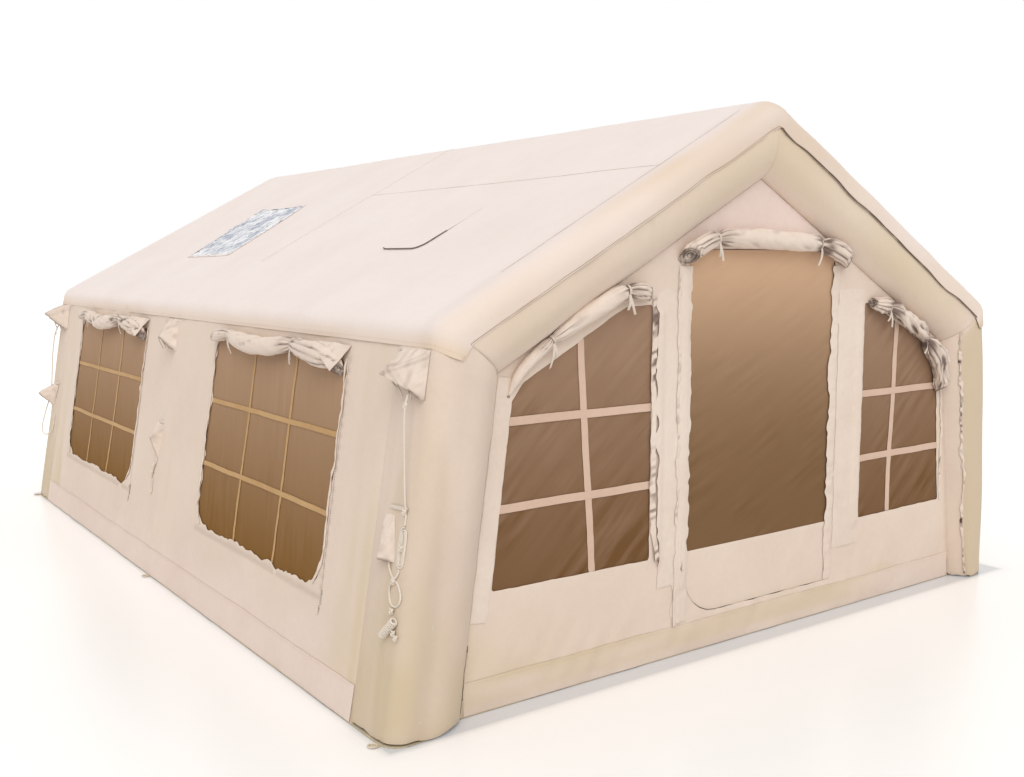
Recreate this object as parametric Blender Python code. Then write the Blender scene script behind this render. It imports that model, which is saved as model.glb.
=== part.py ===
"""Inflatable house tent: air tube frame, fabric shell, mesh windows, door and fittings.

Metres, +Z up. The door gable faces -Y. The origin is on the ground, under the middle of the ridge.
A place on a wall is given as (u, v, w): u along it, v up it, w out of its outer face.
The frame line is the house-shaped line of the fabric in an XZ plane; a depth k is measured
square to it, from its outer face towards the inside of the tent.
"""
import math

import bmesh
import bpy
from mathutils import Vector
from mathutils.geometry import tessellate_polygon

# Cloth, clearances and facets
GAP = 0.0003
FABRIC = 0.003
CUT_OVERRUN = 0.02
MIN_BEND = 0.01
EAVE_STEPS = 4
RIDGE_STEPS = 6
CORNER_STEPS = 4
ROUND_STEPS = 6

# Shell, outer faces
BASE_HALF_WIDTH = 1.865
EAVE_HALF_WIDTH = 1.634
EAVE_HEIGHT = 1.43
RIDGE_HEIGHT = 2.32
HALF_LENGTH = 2.54
EAVE_BEND = 0.07
RIDGE_BEND = 0.15

# Groundsheet
FLOOR_THICKNESS = 0.003
FLOOR_MARGIN = 0.006
UPSTAND_HEIGHT = 0.13
UPSTAND_THICKNESS = 0.003
UPSTAND_END = 0.04
PEG_TAB_HALF_WIDTH = 0.018
PEG_TAB_REACH = 0.018
PEG_HOLE_RADIUS = 0.009
PEG_TAB_INSET = 0.05

# Arch sleeves
SLEEVE_WIDTH = 0.295
SLEEVE_FOOT_WIDTH = 0.33
SLEEVE_CORNER = 0.08
SLEEVE_RETURN = 0.29
GABLE_SETBACK = 0.09
SLEEVE_CHAMFER = 0.022
SLEEVE_FLAT_SHARES = (0.6, 0.8)

# Roof fly
FASCIA_DROP = 0.085
FLAP_CORNER_DROP = 0.13
FLAP_WIDTH = 0.115
FLAP_END_WIDTH = 0.085
WALL_OVERLAP = 0.04

# Air tubes
TUBE_RADIUS = 0.10
TUBE_SIDES = 12
TUBE_BEND = 0.25

# Door, seen from the front
DOOR_LEFT = -0.41
DOOR_RIGHT = 0.515
DOOR_SILL = 0.155
DOOR_HEAD_MARGIN = 0.0135
DOOR_CORNER = 0.19
DOOR_PANEL_TOP = 0.43
MESH_THICKNESS = 0.0015
TAPE_WIDTH = 0.034
TAPE_BORDER = 0.010
TAPE_INSET = 0.0003

# Front windows, as shares of the gable: across it at that height, and up to its knee
WINDOW_CORNER = 0.02
LEFT_WINDOW_SHARES = [(-0.414, 0.351), (-0.646, 1.185), (-0.789, 1.18), (-0.908, 0.968), (-0.942, 0.911),
                      (-0.945, 0.359)]
LEFT_UPRIGHT_SHARES = [(-0.618, 0.351), (-0.818, 1.076)]
LEFT_BAR_SHARES = (0.601, 0.856)
RIGHT_WINDOW_SHARES = [(0.509, 0.339), (0.765, 1.169), (0.839, 1.129), (0.915, 0.996), (0.978, 0.847),
                       (0.956, 0.343)]
RIGHT_UPRIGHT_SHARES = [(0.664, 0.339), (0.861, 1.085)]
RIGHT_BAR_SHARES = (0.57, 0.82)

# Long wall windows
MIDDLE_PANEL_HALF_WIDTH = 0.545
SIDE_WINDOW_END_MARGIN = 0.365
SIDE_WINDOW_SILL = 0.385
SIDE_WINDOW_HEAD_MARGIN = 0.075
SIDE_WINDOW_CORNER = 0.13
SIDE_WINDOW_TOP_CORNER = 0.05
SIDE_UPRIGHT_SHARE = 0.32
SIDE_BAR_SHARES = (0.33, 0.67)

# Rear window
REAR_WINDOW_HALF_WIDTH = 0.45
REAR_WINDOW_SILL = 0.60
REAR_WINDOW_TOP = 1.45

# Rolled covers: radius, and the way their radius swells along them as shares
ROLL_SIDES = 10
ROLL_RINGS = 21
FRONT_ROLL_RADIUS = 0.040
SIDE_ROLL_RADIUS = 0.040
AWNING_RADIUS = 0.047
ROLL_SWELL_SHARES = (0.62, 0.95, 0.78, 1.0, 0.86, 1.0, 0.76, 0.97, 0.7)
LEFT_ROLL_SHARES = [(-0.94, 0.96), (-0.895, 1.06), (-0.898, 1.145), (-0.886, 1.226), (-0.73, 1.23)]
RIGHT_ROLL_SHARES = [(0.788, 1.173), (0.885, 1.153), (0.929, 1.085), (0.926, 1.012), (0.968, 0.919),
                     (0.977, 0.806)]
SIDE_ROLL_OVERHANG = 0.08
SIDE_ROLL_RISE = 0.015
SIDE_ROLL_SAG = 0.035

# The rolled awning over the door, as shares: across the door, and its own radius above the door's head
AWNING_SHARES = [(-0.049, -0.745), (0.043, 0.638), (0.227, 0.957), (0.497, 0.745), (0.768, 0.532), (1.005, -0.532),
                 (1.114, -1.702)]

# Zip sliders
SLIDER_HALF_WIDTH = 0.006
SLIDER_HALF_LENGTH = 0.011
SLIDER_HEIGHT = 0.009
PULL_LENGTH = 0.045
PULL_LOW = 0.0025
PULL_HIGH = 0.005
SLIDER_MARGIN = 0.035
DOOR_SLIDER_MARGIN = 0.025

# Roof fittings; shares of the half length along the ridge, and of the slope down from the ridge
SKYLIGHT_SHARES = [(0.456, 0.727), (0.211, 0.719), (0.28, 0.374), (0.529, 0.384)]
FILM_THICKNESS = 0.002
JACK_CENTRE_SHARES = (-0.547, 0.599)
JACK_HALF_WIDTH = 0.115
JACK_FLAP_OVERLAP = 0.055
JACK_FLAP_END_OVERLAP = 0.08
JACK_FLAP_CORNER = 0.06
JACK_FLAP_THICKNESS = 0.002

# Inflation valve, on the inner side of the rear arch's right leg
VALVE_HEIGHT = 0.45
VALVE_RADIUS = 0.022
VALVE_DEPTH = 0.018
VALVE_SIDES = 16
CAP_RADIUS = 0.020
CAP_THICKNESS = 0.006
CAP_HINGE_REACH = 0.0225

# Guy flaps; shares of width, height and reach, from the middle of the flap's upper edge
FLAP_END_MARGIN = 0.165
FLAP_MIDDLE_OFFSET = 0.11
FLAP_TOP_DROP = 0.006
FLAP_WIDTH_ON_WALL = 0.19
FLAP_HEIGHT = 0.169
FLAP_REACH = 0.13
FLAP_BASE_SHARES = [(0.5, 0), (-0.5, 0), (-0.5, 1), (0, 0.734)]
FLAP_TIP_SHARES = {"front": (0.316, 0.61, 0.715), "middle": (-0.053, 0.61, 0.615), "rear": (0.237, 0.432, 1)}
FLAP_LIP_SHARES = (-0.316, 0.822, 0.4)
LOW_FLAP_TOP = 0.785
LOW_FLAP_WIDTH = 0.13
LOW_FLAP_HEIGHT = 0.18
LOW_FLAP_REACH = 0.105
LOW_FLAP_BASE_SHARES = {"front": [(0.46, 0.11), (0.23, 0.11), (-0.31, 0.97), (0.577, 0.97)],
                        "middle": [(0.54, -0.03), (-0.46, 0.03), (0, 1.03)],
                        "rear": [(0.615, -0.03), (-0.346, 0.03), (0.154, 0.86)]}
LOW_FLAP_TIP_SHARES = {"front": (0.115, 0.97, 0.38), "middle": (-0.077, 0.444, 0.62), "rear": (0.346, 0.39, 1)}

# Guy ropes, as (u along the left wall, height, w out of the wall)
ROPE_DIAMETER = 0.008
ROPE_STEP = 0.02
ROPE_STEPS_PER_LOOP = 24
ROPE_REST = ROPE_DIAMETER / 2 + GAP
FRONT_ROPE = [(-2.415, 1.1962, 0.030), (-2.428, 1.175, 0.044), (-2.4385, 1.148, 0.054), (-2.44, 1.10, 0.0515),
              (-2.44, 1.05, 0.0445), (-2.44, 0.95, 0.0285), (-2.44, 0.87, 0.0157), (-2.444, 0.81, 0.0065),
              (-2.453, 0.775, ROPE_REST), (-2.455, 0.7434, ROPE_REST)]
HANK_CENTRE = (-2.455, 0.667)
HANK_HALF_WIDTH = 0.005
HANK_RUN = 0.046
HANK_PITCH = 0.0087
HANK_LOOPS = 2.25
LOWER_ROPE = [(-2.385, 0.6085, 0.008), (-2.392, 0.588, 0.007), (-2.415, 0.562, 0.0045), (-2.455, 0.545, ROPE_REST),
              (-2.480, 0.520, ROPE_REST), (-2.484, 0.492, ROPE_REST), (-2.462, 0.470, ROPE_REST),
              (-2.430, 0.472, ROPE_REST), (-2.412, 0.495, ROPE_REST), (-2.412, 0.525, 0.008),
              (-2.432, 0.550, 0.0145), (-2.450, 0.573, 0.008), (-2.455, 0.5958, ROPE_REST)]
WOUND_START = (-2.418, 0.362)
WOUND_END = (-2.482, 0.428)
WOUND_RADIUS = 0.012
WOUND_LOOPS = 9.5
MIDDLE_ROPE = [(0.11, 0.5987, 0.0048), (0.118, 0.578, ROPE_REST), (0.145, 0.545, ROPE_REST),
               (0.163, 0.505, ROPE_REST), (0.165, 0.450, ROPE_REST), (0.156, 0.412, ROPE_REST),
               (0.142, 0.414, ROPE_REST), (0.140, 0.445, ROPE_REST), (0.146, 0.485, ROPE_REST)]
REAR_ROPE = [(2.405, 1.1985, 0.026), (2.42, 1.17, 0.036), (2.445, 1.11, 0.040), (2.462, 0.98, 0.034),
             (2.470, 0.86, 0.022), (2.4755, 0.78, 0.014), (2.478, 0.70, 0.012), (2.470, 0.62, 0.028),
             (2.447, 0.55, 0.044), (2.437, 0.49, 0.051), (2.410, 0.446, 0.048), (2.365, 0.437, 0.032),
             (2.335, 0.465, 0.014), (2.330, 0.520, ROPE_REST), (2.337, 0.580, ROPE_REST)]

LEAN = math.atan2(BASE_HALF_WIDTH - EAVE_HALF_WIDTH, EAVE_HEIGHT)
PITCH = math.atan2(RIDGE_HEIGHT - EAVE_HEIGHT, EAVE_HALF_WIDTH)
SLOPE_LENGTH = EAVE_HALF_WIDTH / math.cos(PITCH)
HEM_HEIGHT = EAVE_HEIGHT - FASCIA_DROP
GABLE_Y = HALF_LENGTH - GABLE_SETBACK
WALL_HALF_LENGTH = HALF_LENGTH - SLEEVE_RETURN
FLOOR_TOP = FLOOR_THICKNESS + GAP
TUBE_INSET = FABRIC + GAP + UPSTAND_THICKNESS + GAP
TUBE_DEPTH = TUBE_INSET + TUBE_RADIUS
END_ARCH_Y = HALF_LENGTH - FABRIC - GAP - TUBE_RADIUS
FLY_OUTER = GAP + FABRIC

COLOURS = {
    "canvas": ("#E2CFC0", 0.85, 0.0),
    "roof": ("#F0E3DC", 0.8, 0.0),
    "skirt": ("#D6C6A8", 0.8, 0.0),
    "tube": ("#CFC6B8", 0.55, 0.0),
    "mesh": ("#9A7654", 0.9, 0.0),
    "film": ("#C9D3DC", 0.15, 0.0),
    "heatproof": ("#B9B2A6", 0.9, 0.0),
    "rope": ("#E6DACB", 0.9, 0.0),
    "zip": ("#C9B8A6", 0.35, 0.9),
    "valve": ("#3A3A3A", 0.4, 0.0),
}


def clear_scene():
    for item in list(bpy.data.objects):
        bpy.data.objects.remove(item, do_unlink=True)


def linear(channel):
    if channel <= 0.04045:
        return channel / 12.92
    return ((channel + 0.055) / 1.055) ** 2.4


def make_material(name, colour):
    code, roughness, metallic = COLOURS[colour]
    channels = [int(code[i:i + 2], 16) / 255 for i in (1, 3, 5)]
    material = bpy.data.materials.new(name + "_finish")
    material.use_nodes = True
    shader = material.node_tree.nodes["Principled BSDF"]
    shader.inputs["Base Color"].default_value = (*[linear(c) for c in channels], 1)
    shader.inputs["Roughness"].default_value = roughness
    shader.inputs["Metallic"].default_value = metallic
    return material


def add_solid(name, points, faces, colour, origin=(0, 0, 0)):
    """One closed solid; its origin is the point that it turns or stands on."""
    origin = Vector(origin)
    mesh = bpy.data.meshes.new(name)
    mesh.from_pydata([Vector(p) - origin for p in points], [], faces)
    shape = bmesh.new()
    shape.from_mesh(mesh)
    bmesh.ops.recalc_face_normals(shape, faces=shape.faces)
    shape.to_mesh(mesh)
    shape.free()
    solid = bpy.data.objects.new(name, mesh)
    solid.location = origin
    bpy.context.collection.objects.link(solid)
    mesh.materials.append(make_material(name, colour))
    mesh.set_sharp_from_angle(angle=math.radians(40))
    return solid


def as_guide(solid):
    solid.hide_render = True
    solid.display_type = "WIRE"
    return solid


def boolean(solid, operand, operation):
    modifier = solid.modifiers.new(operand.name, "BOOLEAN")
    modifier.operation = operation
    modifier.solver = "EXACT"
    modifier.object = operand


# The frame line and what is lofted along it

def leg_x(k, z):
    """Distance of the long wall from the middle, at depth k and height z."""
    return BASE_HALF_WIDTH - (k + z * math.sin(LEAN)) / math.cos(LEAN)


def eave_corner(k):
    """Where the wall line and the roof line of depth k cross."""
    side = BASE_HALF_WIDTH * math.cos(LEAN) - k
    top = RIDGE_HEIGHT * math.cos(PITCH) - k
    spread = math.cos(LEAN + PITCH)
    x = (side * math.cos(PITCH) - top * math.sin(LEAN)) / spread
    z = (top * math.cos(LEAN) - side * math.sin(PITCH)) / spread
    return Vector((x, z))


def ridge_point(k):
    return Vector((0, RIDGE_HEIGHT - k / math.cos(PITCH)))


def arc(centre, radius, start, end, steps):
    angles = [start + (end - start) * i / steps for i in range(steps + 1)]
    return [centre + radius * Vector((math.cos(a), math.sin(a))) for a in angles]


def frame_line(k, low_z, eave_bend=0.0, ridge_bend=0.0, low_k=None):
    """Points (x, z) from the right foot over the ridge to the left foot, at depth k."""
    roof_angle = math.pi / 2 - PITCH
    eave_radius = max(eave_bend - k, MIN_BEND)
    ridge_radius = max(ridge_bend - k, MIN_BEND)
    foot = Vector((leg_x(k if low_k is None else low_k, low_z), low_z))
    right = [foot] + arc(eave_corner(k + eave_radius), eave_radius, LEAN, roof_angle, EAVE_STEPS)
    top = arc(ridge_point(k + ridge_radius), ridge_radius, roof_angle, math.pi - roof_angle, RIDGE_STEPS)
    left = [Vector((-p.x, p.y)) for p in reversed(right)]
    return right + top + left


def seam_x(z):
    """How far the sleeve's seam on the gable wall is from the middle, at height z."""
    knee = eave_corner(SLEEVE_WIDTH)
    if z > knee.y:
        top = ridge_point(SLEEVE_WIDTH).y
        return knee.x * (top - z) / (top - knee.y)
    foot = leg_x(SLEEVE_FOOT_WIDTH, FLOOR_TOP)
    return foot + (knee.x - foot) * (z - FLOOR_TOP) / (knee.y - FLOOR_TOP)


def door_head():
    """The door's head is just under the seam at the door's outer top corner."""
    far = max(DOOR_RIGHT, -DOOR_LEFT)
    return ridge_point(SLEEVE_WIDTH).y - far * math.tan(PITCH) - DOOR_HEAD_MARGIN


def gable_points(shares):
    knee = eave_corner(SLEEVE_WIDTH).y
    return [(across * seam_x(up * knee), up * knee) for across, up in shares]


def sheet_solid(name, outer, inner, colour):
    """A sheet between two grids of points with the same rows."""
    rows = len(outer)
    count = len(outer[0])
    points = [p for row in outer for p in row] + [p for row in inner for p in row]
    half = rows * count
    faces = []
    for i in range(rows - 1):
        for j in range(count - 1):
            a = i * count + j
            faces.append((a, a + 1, a + count + 1, a + count))
            faces.append((half + a, half + a + count, half + a + count + 1, half + a + 1))
    edge = [j for j in range(count)]
    edge += [i * count + count - 1 for i in range(1, rows)]
    edge += [(rows - 1) * count + j for j in range(count - 2, -1, -1)]
    edge += [i * count for i in range(rows - 2, 0, -1)]
    for a, b in zip(edge, edge[1:] + edge[:1]):
        faces.append((a, b, half + b, half + a))
    return add_solid(name, points, faces, colour)


def ring_solid(name, rings, colour, origin=(0, 0, 0)):
    """A closed tube through rings of points, with flat ends."""
    sides = len(rings[0])
    points = [p for ring in rings for p in ring]
    faces = [tuple(range(sides)), tuple((len(rings) - 1) * sides + j for j in range(sides))]
    for i in range(len(rings) - 1):
        for j in range(sides):
            a = i * sides + j
            b = i * sides + (j + 1) % sides
            faces.append((a, b, b + sides, a + sides))
    return add_solid(name, points, faces, colour, origin)


# Flat pieces

def plate(name, outline, low, high, place, colour, holes=(), steps=(), origin=(0, 0, 0)):
    """A flat piece between w = low and w = high, with its holes.

    A step is a loop in the high face, the loop that closes it and the w of that loop:
    below the face it is a recess, above it a raised part.
    """
    sides = [list(outline)] + [list(hole) for hole in holes]
    tops = sides + [list(loop) for loop, cap, level in steps]
    points = [place(u, v, low) for loop in sides for u, v in loop]
    high_start = len(points)
    points += [place(u, v, high) for loop in tops for u, v in loop]
    faces = [(a, b, c) for a, b, c in fill(sides)]
    faces += [(high_start + a, high_start + c, high_start + b) for a, b, c in fill(tops)]
    start = 0
    for loop in sides:
        faces += band(start, high_start + start, len(loop))
        start += len(loop)
    for loop, cap, level in steps:
        cap_start = len(points)
        points += [place(u, v, level) for u, v in cap]
        faces += band(high_start + start, cap_start, len(loop))
        faces.append(tuple(range(cap_start, cap_start + len(cap))))
        start += len(loop)
    return add_solid(name, points, faces, colour, origin)


def fill(loops):
    return tessellate_polygon([[Vector((u, v, 0)) for u, v in loop] for loop in loops])


def band(first, second, count):
    """Four-sided faces between two loops of points with the same count."""
    turns = [(i, (i + 1) % count) for i in range(count)]
    return [(first + i, first + j, second + j, second + i) for i, j in turns]


def area(outline):
    return sum(a[0] * b[1] - b[0] * a[1] for a, b in zip(outline, outline[1:] + outline[:1])) / 2


def inset(outline, distance):
    """The outline moved inwards by a distance, or outwards by a negative one."""
    turn = 1 if area(outline) > 0 else -1
    moved = []
    for i, here in enumerate(outline):
        here = Vector(here)
        before = (here - Vector(outline[i - 1])).normalized()
        after = (Vector(outline[(i + 1) % len(outline)]) - here).normalized()
        normals = [Vector((-d.y, d.x)) * turn for d in (before, after)]
        middle = (normals[0] + normals[1]).normalized()
        moved.append(tuple(here + middle * distance / middle.dot(normals[0])))
    return moved


def rounded(outline, radii):
    """The outline with each corner rounded by its radius."""
    points = []
    for i, corner in enumerate(outline):
        corner = Vector(corner)
        before = (Vector(outline[i - 1]) - corner).normalized()
        after = (Vector(outline[(i + 1) % len(outline)]) - corner).normalized()
        half = before.angle(after) / 2
        centre = corner + (before + after).normalized() * radii[i] / math.sin(half)
        start = corner + before * radii[i] / math.tan(half) - centre
        end = corner + after * radii[i] / math.tan(half) - centre
        turn = start.angle_signed(end)
        first = math.atan2(start.y, start.x)
        for step in range(CORNER_STEPS + 1):
            a = first - turn * step / CORNER_STEPS
            points.append((centre.x + radii[i] * math.cos(a), centre.y + radii[i] * math.sin(a)))
    return points


def clip(subject, outline):
    """The part of a convex subject that lies inside a convex outline."""
    side = 1 if area(outline) > 0 else -1
    for a, b in zip(outline, outline[1:] + outline[:1]):
        edge = Vector(b) - Vector(a)
        normal = Vector((-edge.y, edge.x)).normalized() * side
        depth = [normal.dot(Vector(p) - Vector(a)) for p in subject]
        kept = []
        for i, p in enumerate(subject):
            j = (i + 1) % len(subject)
            if depth[i] >= 0:
                kept.append(p)
            if depth[i] * depth[j] < 0:
                share = depth[i] / (depth[i] - depth[j])
                kept.append(tuple(Vector(p).lerp(Vector(subject[j]), share)))
        subject = kept
    return subject


def box_outline(half_u, low_v, high_v, centre_u=0.0):
    return [(centre_u - half_u, low_v), (centre_u + half_u, low_v),
            (centre_u + half_u, high_v), (centre_u - half_u, high_v)]


# Places on the ground, the walls and the roof

def ground_place(u, v, w):
    return Vector((u, v, w))


def front_place(u, v, w):
    return Vector((u, -GABLE_Y - w, v))


def rear_place(u, v, w):
    return Vector((u, GABLE_Y + w, v))


def wall_place(side):
    """The long wall on side -1, left, or 1, right. v runs up the leaning wall."""
    def place(u, v, w):
        out = BASE_HALF_WIDTH - v * math.sin(LEAN) + w * math.cos(LEAN)
        return Vector((side * out, u, v * math.cos(LEAN) + w * math.sin(LEAN)))
    return place


def up_wall(z):
    return z / math.cos(LEAN)


def roof_place(u, v, w):
    """The left roof slope: u along the ridge, v down the slope, w out of the frame line."""
    return Vector((-v * math.cos(PITCH) - w * math.sin(PITCH), u,
                   RIDGE_HEIGHT - v * math.sin(PITCH) + w * math.cos(PITCH)))


# Groundsheet

def make_groundsheet():
    half_x = BASE_HALF_WIDTH + FLOOR_MARGIN
    half_y = HALF_LENGTH + FLOOR_MARGIN
    tab_ys = (-half_y + PEG_TAB_INSET, 0.0, half_y - PEG_TAB_INSET)
    edge = []
    holes = []
    for y in tab_ys:
        centre = Vector((half_x + PEG_TAB_REACH, y))
        edge.append((half_x, y - PEG_TAB_HALF_WIDTH))
        edge += [tuple(p) for p in arc(centre, PEG_TAB_HALF_WIDTH, -math.pi / 2, math.pi / 2, ROUND_STEPS)]
        edge.append((half_x, y + PEG_TAB_HALF_WIDTH))
        ring = arc(centre, PEG_HOLE_RADIUS, 0, math.tau, 2 * ROUND_STEPS)[:-1]
        holes += [[tuple(p) for p in ring], [(-p.x, p.y) for p in ring]]
    recess_x = leg_x(SLEEVE_FOOT_WIDTH, 0)
    recess_y = GABLE_Y + FLOOR_MARGIN
    right = [(recess_x, -recess_y), (recess_x, -half_y), (half_x, -half_y)] + edge
    right += [(half_x, half_y), (recess_x, half_y), (recess_x, recess_y)]
    outline = right + [(-x, y) for x, y in reversed(right)]

    outer = FABRIC + GAP
    inner = outer + UPSTAND_THICKNESS
    side_half = HALF_LENGTH - SLEEVE_RETURN - UPSTAND_END
    gable_half = leg_x(SLEEVE_FOOT_WIDTH, 0) - UPSTAND_END
    upstands = []
    for end in (-1, 1):
        loops = []
        for z in (FLOOR_THICKNESS, UPSTAND_HEIGHT):
            near, far = end * leg_x(outer, z), end * leg_x(inner, z)
            loops.append([(near, -side_half), (near, side_half), (far, side_half), (far, -side_half)])
        upstands.append((*loops, UPSTAND_HEIGHT))
        near, far = end * (GABLE_Y - outer), end * (GABLE_Y - inner)
        loop = [(-gable_half, near), (gable_half, near), (gable_half, far), (-gable_half, far)]
        upstands.append((loop, loop, UPSTAND_HEIGHT))
    plate("groundsheet", outline, 0, FLOOR_THICKNESS, ground_place, "skirt", holes, upstands)


# Air tube frame

def make_arch_tube(name, middle_y):
    radius = TUBE_RADIUS / math.cos(math.pi / TUBE_SIDES)
    rows = []
    for j in range(TUBE_SIDES):
        a = (j + 0.5) * math.tau / TUBE_SIDES
        line = frame_line(TUBE_DEPTH + radius * math.cos(a), FLOOR_TOP, TUBE_BEND, TUBE_BEND)
        y = middle_y + radius * math.sin(a)
        rows.append([Vector((p.x, y, p.y)) for p in line])
    ring_solid(name, [list(ring) for ring in zip(*rows)], "tube")


def make_straight_tube(name, centre, start_y, end_y):
    rings = []
    for y in (start_y, end_y):
        angles = [(j + 0.5) * math.tau / TUBE_SIDES for j in range(TUBE_SIDES)]
        rings.append([Vector((centre.x + TUBE_RADIUS * math.cos(a), y, centre.y + TUBE_RADIUS * math.sin(a)))
                      for a in angles])
    ring_solid(name, rings, "tube")


def make_frame():
    make_arch_tube("front_arch_tube", -END_ARCH_Y)
    make_arch_tube("middle_arch_tube", 0.0)
    make_arch_tube("rear_arch_tube", END_ARCH_Y)
    near = TUBE_RADIUS + GAP
    far = END_ARCH_Y - TUBE_RADIUS - GAP
    eave = eave_corner(TUBE_DEPTH)
    sleeve_top = ridge_point(RIDGE_BEND).y + RIDGE_BEND - FABRIC
    ridge = Vector((0, sleeve_top - GAP - TUBE_RADIUS))
    for part, start, end in (("front", -far, -near), ("rear", near, far)):
        make_straight_tube("ridge_tube_" + part, ridge, start, end)
        make_straight_tube("eave_tube_left_" + part, Vector((-eave.x, eave.y)), start, end)
        make_straight_tube("eave_tube_right_" + part, eave, start, end)


# Arch sleeves, walls and roof fly

def corner_profile(radius):
    """Quarter turn of the arch corner, from the face of the arch to the wall: (k, y)."""
    points = []
    for i in range(CORNER_STEPS + 1):
        a = math.pi / 2 * (1 - i / CORNER_STEPS)
        points.append((SLEEVE_CORNER - radius * math.cos(a), HALF_LENGTH - SLEEVE_CORNER + radius * math.sin(a)))
    return points


def sleeve_profile(thickness):
    """The sleeve from its seam on the gable wall to its seam on the long wall: (k, y)."""
    near, far = SLEEVE_FLAT_SHARES
    profile = [(SLEEVE_WIDTH, GABLE_Y - thickness),
               (far * SLEEVE_WIDTH, HALF_LENGTH - SLEEVE_CHAMFER - thickness),
               (near * SLEEVE_WIDTH, HALF_LENGTH - thickness)]
    profile += corner_profile(SLEEVE_CORNER - thickness)
    profile.append((thickness, HALF_LENGTH - SLEEVE_RETURN))
    return profile


def foot_depth(k):
    """The sleeve is a little wider at its foot."""
    if k <= SLEEVE_CORNER:
        return k
    return SLEEVE_CORNER + (k - SLEEVE_CORNER) * (SLEEVE_FOOT_WIDTH - SLEEVE_CORNER) / (SLEEVE_WIDTH - SLEEVE_CORNER)


def make_sleeve(name, end):
    grids = []
    for thickness in (0.0, FABRIC):
        rows = []
        for k, y in sleeve_profile(thickness):
            line = frame_line(k, FLOOR_TOP, EAVE_BEND, RIDGE_BEND, foot_depth(k))
            rows.append([Vector((p.x, end * y, p.y)) for p in line])
        grids.append(rows)
    sheet_solid(name, grids[0], grids[1], "canvas")


def make_fly():
    """The roof sheet: a flap over each end arch, the two slopes, and a fascia over each eave."""
    grids = []
    for offset in (FLY_OUTER, GAP):
        corner_height = EAVE_HEIGHT - FLAP_CORNER_DROP
        end_rows = [(FLAP_WIDTH, HALF_LENGTH + offset, corner_height, FLAP_END_WIDTH)]
        for i, (k, y) in enumerate(corner_profile(SLEEVE_CORNER + offset)):
            low = corner_height + (HEM_HEIGHT - corner_height) * i / CORNER_STEPS
            end_rows.append((k, y, low, k))
        rows = [(k, -y, low, low_k) for k, y, low, low_k in end_rows]
        rows.append((-offset, 0.0, HEM_HEIGHT, -offset))
        rows += [(k, y, low, low_k) for k, y, low, low_k in reversed(end_rows)]
        grid = []
        for k, y, low, low_k in rows:
            line = frame_line(k, low, EAVE_BEND, RIDGE_BEND, low_k)
            grid.append([Vector((p.x, y, p.y)) for p in line])
        grids.append(grid)
    fly = sheet_solid("roof_fly", grids[0], grids[1], "roof")
    for name, outline in (("skylight_hole", skylight_outline()), ("jack_hole", jack_outline())):
        cutter = plate(name, outline, -CUT_OVERRUN, CUT_OVERRUN, roof_place, "roof")
        boolean(fly, as_guide(cutter), "DIFFERENCE")


def door_outline():
    corners = [(DOOR_RIGHT, DOOR_SILL), (DOOR_RIGHT, door_head()), (DOOR_LEFT, door_head()), (DOOR_LEFT, DOOR_SILL)]
    return rounded(corners, (MIN_BEND, MIN_BEND, MIN_BEND, DOOR_CORNER))


def front_window_outline(shares):
    return rounded(gable_points(shares), [WINDOW_CORNER] * len(shares))


def side_window_box(end):
    """Middle, half width, sill and head of a long wall window, up the wall."""
    far = WALL_HALF_LENGTH - SIDE_WINDOW_END_MARGIN
    return (end * (far + MIDDLE_PANEL_HALF_WIDTH) / 2, (far - MIDDLE_PANEL_HALF_WIDTH) / 2,
            up_wall(SIDE_WINDOW_SILL), up_wall(HEM_HEIGHT - SIDE_WINDOW_HEAD_MARGIN))


def side_window_outline(end):
    centre, half, sill, head = side_window_box(end)
    low = SIDE_WINDOW_CORNER
    high = SIDE_WINDOW_TOP_CORNER
    return rounded(box_outline(half, sill, head, centre), (low, low, high, high))


def rear_window_outline():
    corners = box_outline(REAR_WINDOW_HALF_WIDTH, REAR_WINDOW_SILL, REAR_WINDOW_TOP)
    return rounded(corners, [SIDE_WINDOW_TOP_CORNER] * len(corners))


def gable_outline():
    line = frame_line(SLEEVE_WIDTH + GAP, FLOOR_TOP, low_k=SLEEVE_FOOT_WIDTH + GAP)
    return [tuple(p) for p in line]


def make_walls():
    front_holes = [door_outline(), front_window_outline(LEFT_WINDOW_SHARES),
                   front_window_outline(RIGHT_WINDOW_SHARES)]
    plate("front_wall", gable_outline(), -FABRIC, 0, front_place, "canvas", front_holes)
    plate("rear_wall", gable_outline(), -FABRIC, 0, rear_place, "canvas", [rear_window_outline()])
    low = up_wall(FLOOR_TOP + FABRIC * math.sin(LEAN))
    outline = box_outline(WALL_HALF_LENGTH - GAP, low, up_wall(HEM_HEIGHT + WALL_OVERLAP))
    holes = [side_window_outline(end) for end in (-1, 1)]
    for name, side in (("left_wall", -1), ("right_wall", 1)):
        plate(name, outline, -FABRIC, 0, wall_place(side), "canvas", holes)


# Windows with their tape grids

def line_u(line, v):
    (start_u, start_v), (end_u, end_v) = line
    return start_u + (end_u - start_u) * (v - start_v) / (end_v - start_v)


def window_panes(room, uprights, heights):
    """The openings between the upright tapes and the level ones, inside the border."""
    low, high = min(p[1] for p in room), max(p[1] for p in room)
    left, right = min(p[0] for p in room), max(p[0] for p in room)
    half = TAPE_WIDTH / 2
    lines = [((left - half, low), (left - half, high))] + uprights + [((right + half, low), (right + half, high))]
    levels = [low - half] + list(heights) + [high + half]
    panes = []
    for first, second in zip(lines, lines[1:]):
        for below, above in zip(levels, levels[1:]):
            low_v, high_v = below + half, above - half
            cell = [(line_u(first, low_v) + half, low_v), (line_u(second, low_v) - half, low_v),
                    (line_u(second, high_v) - half, high_v), (line_u(first, high_v) + half, high_v)]
            panes.append(clip(cell, room))
    return panes


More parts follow.
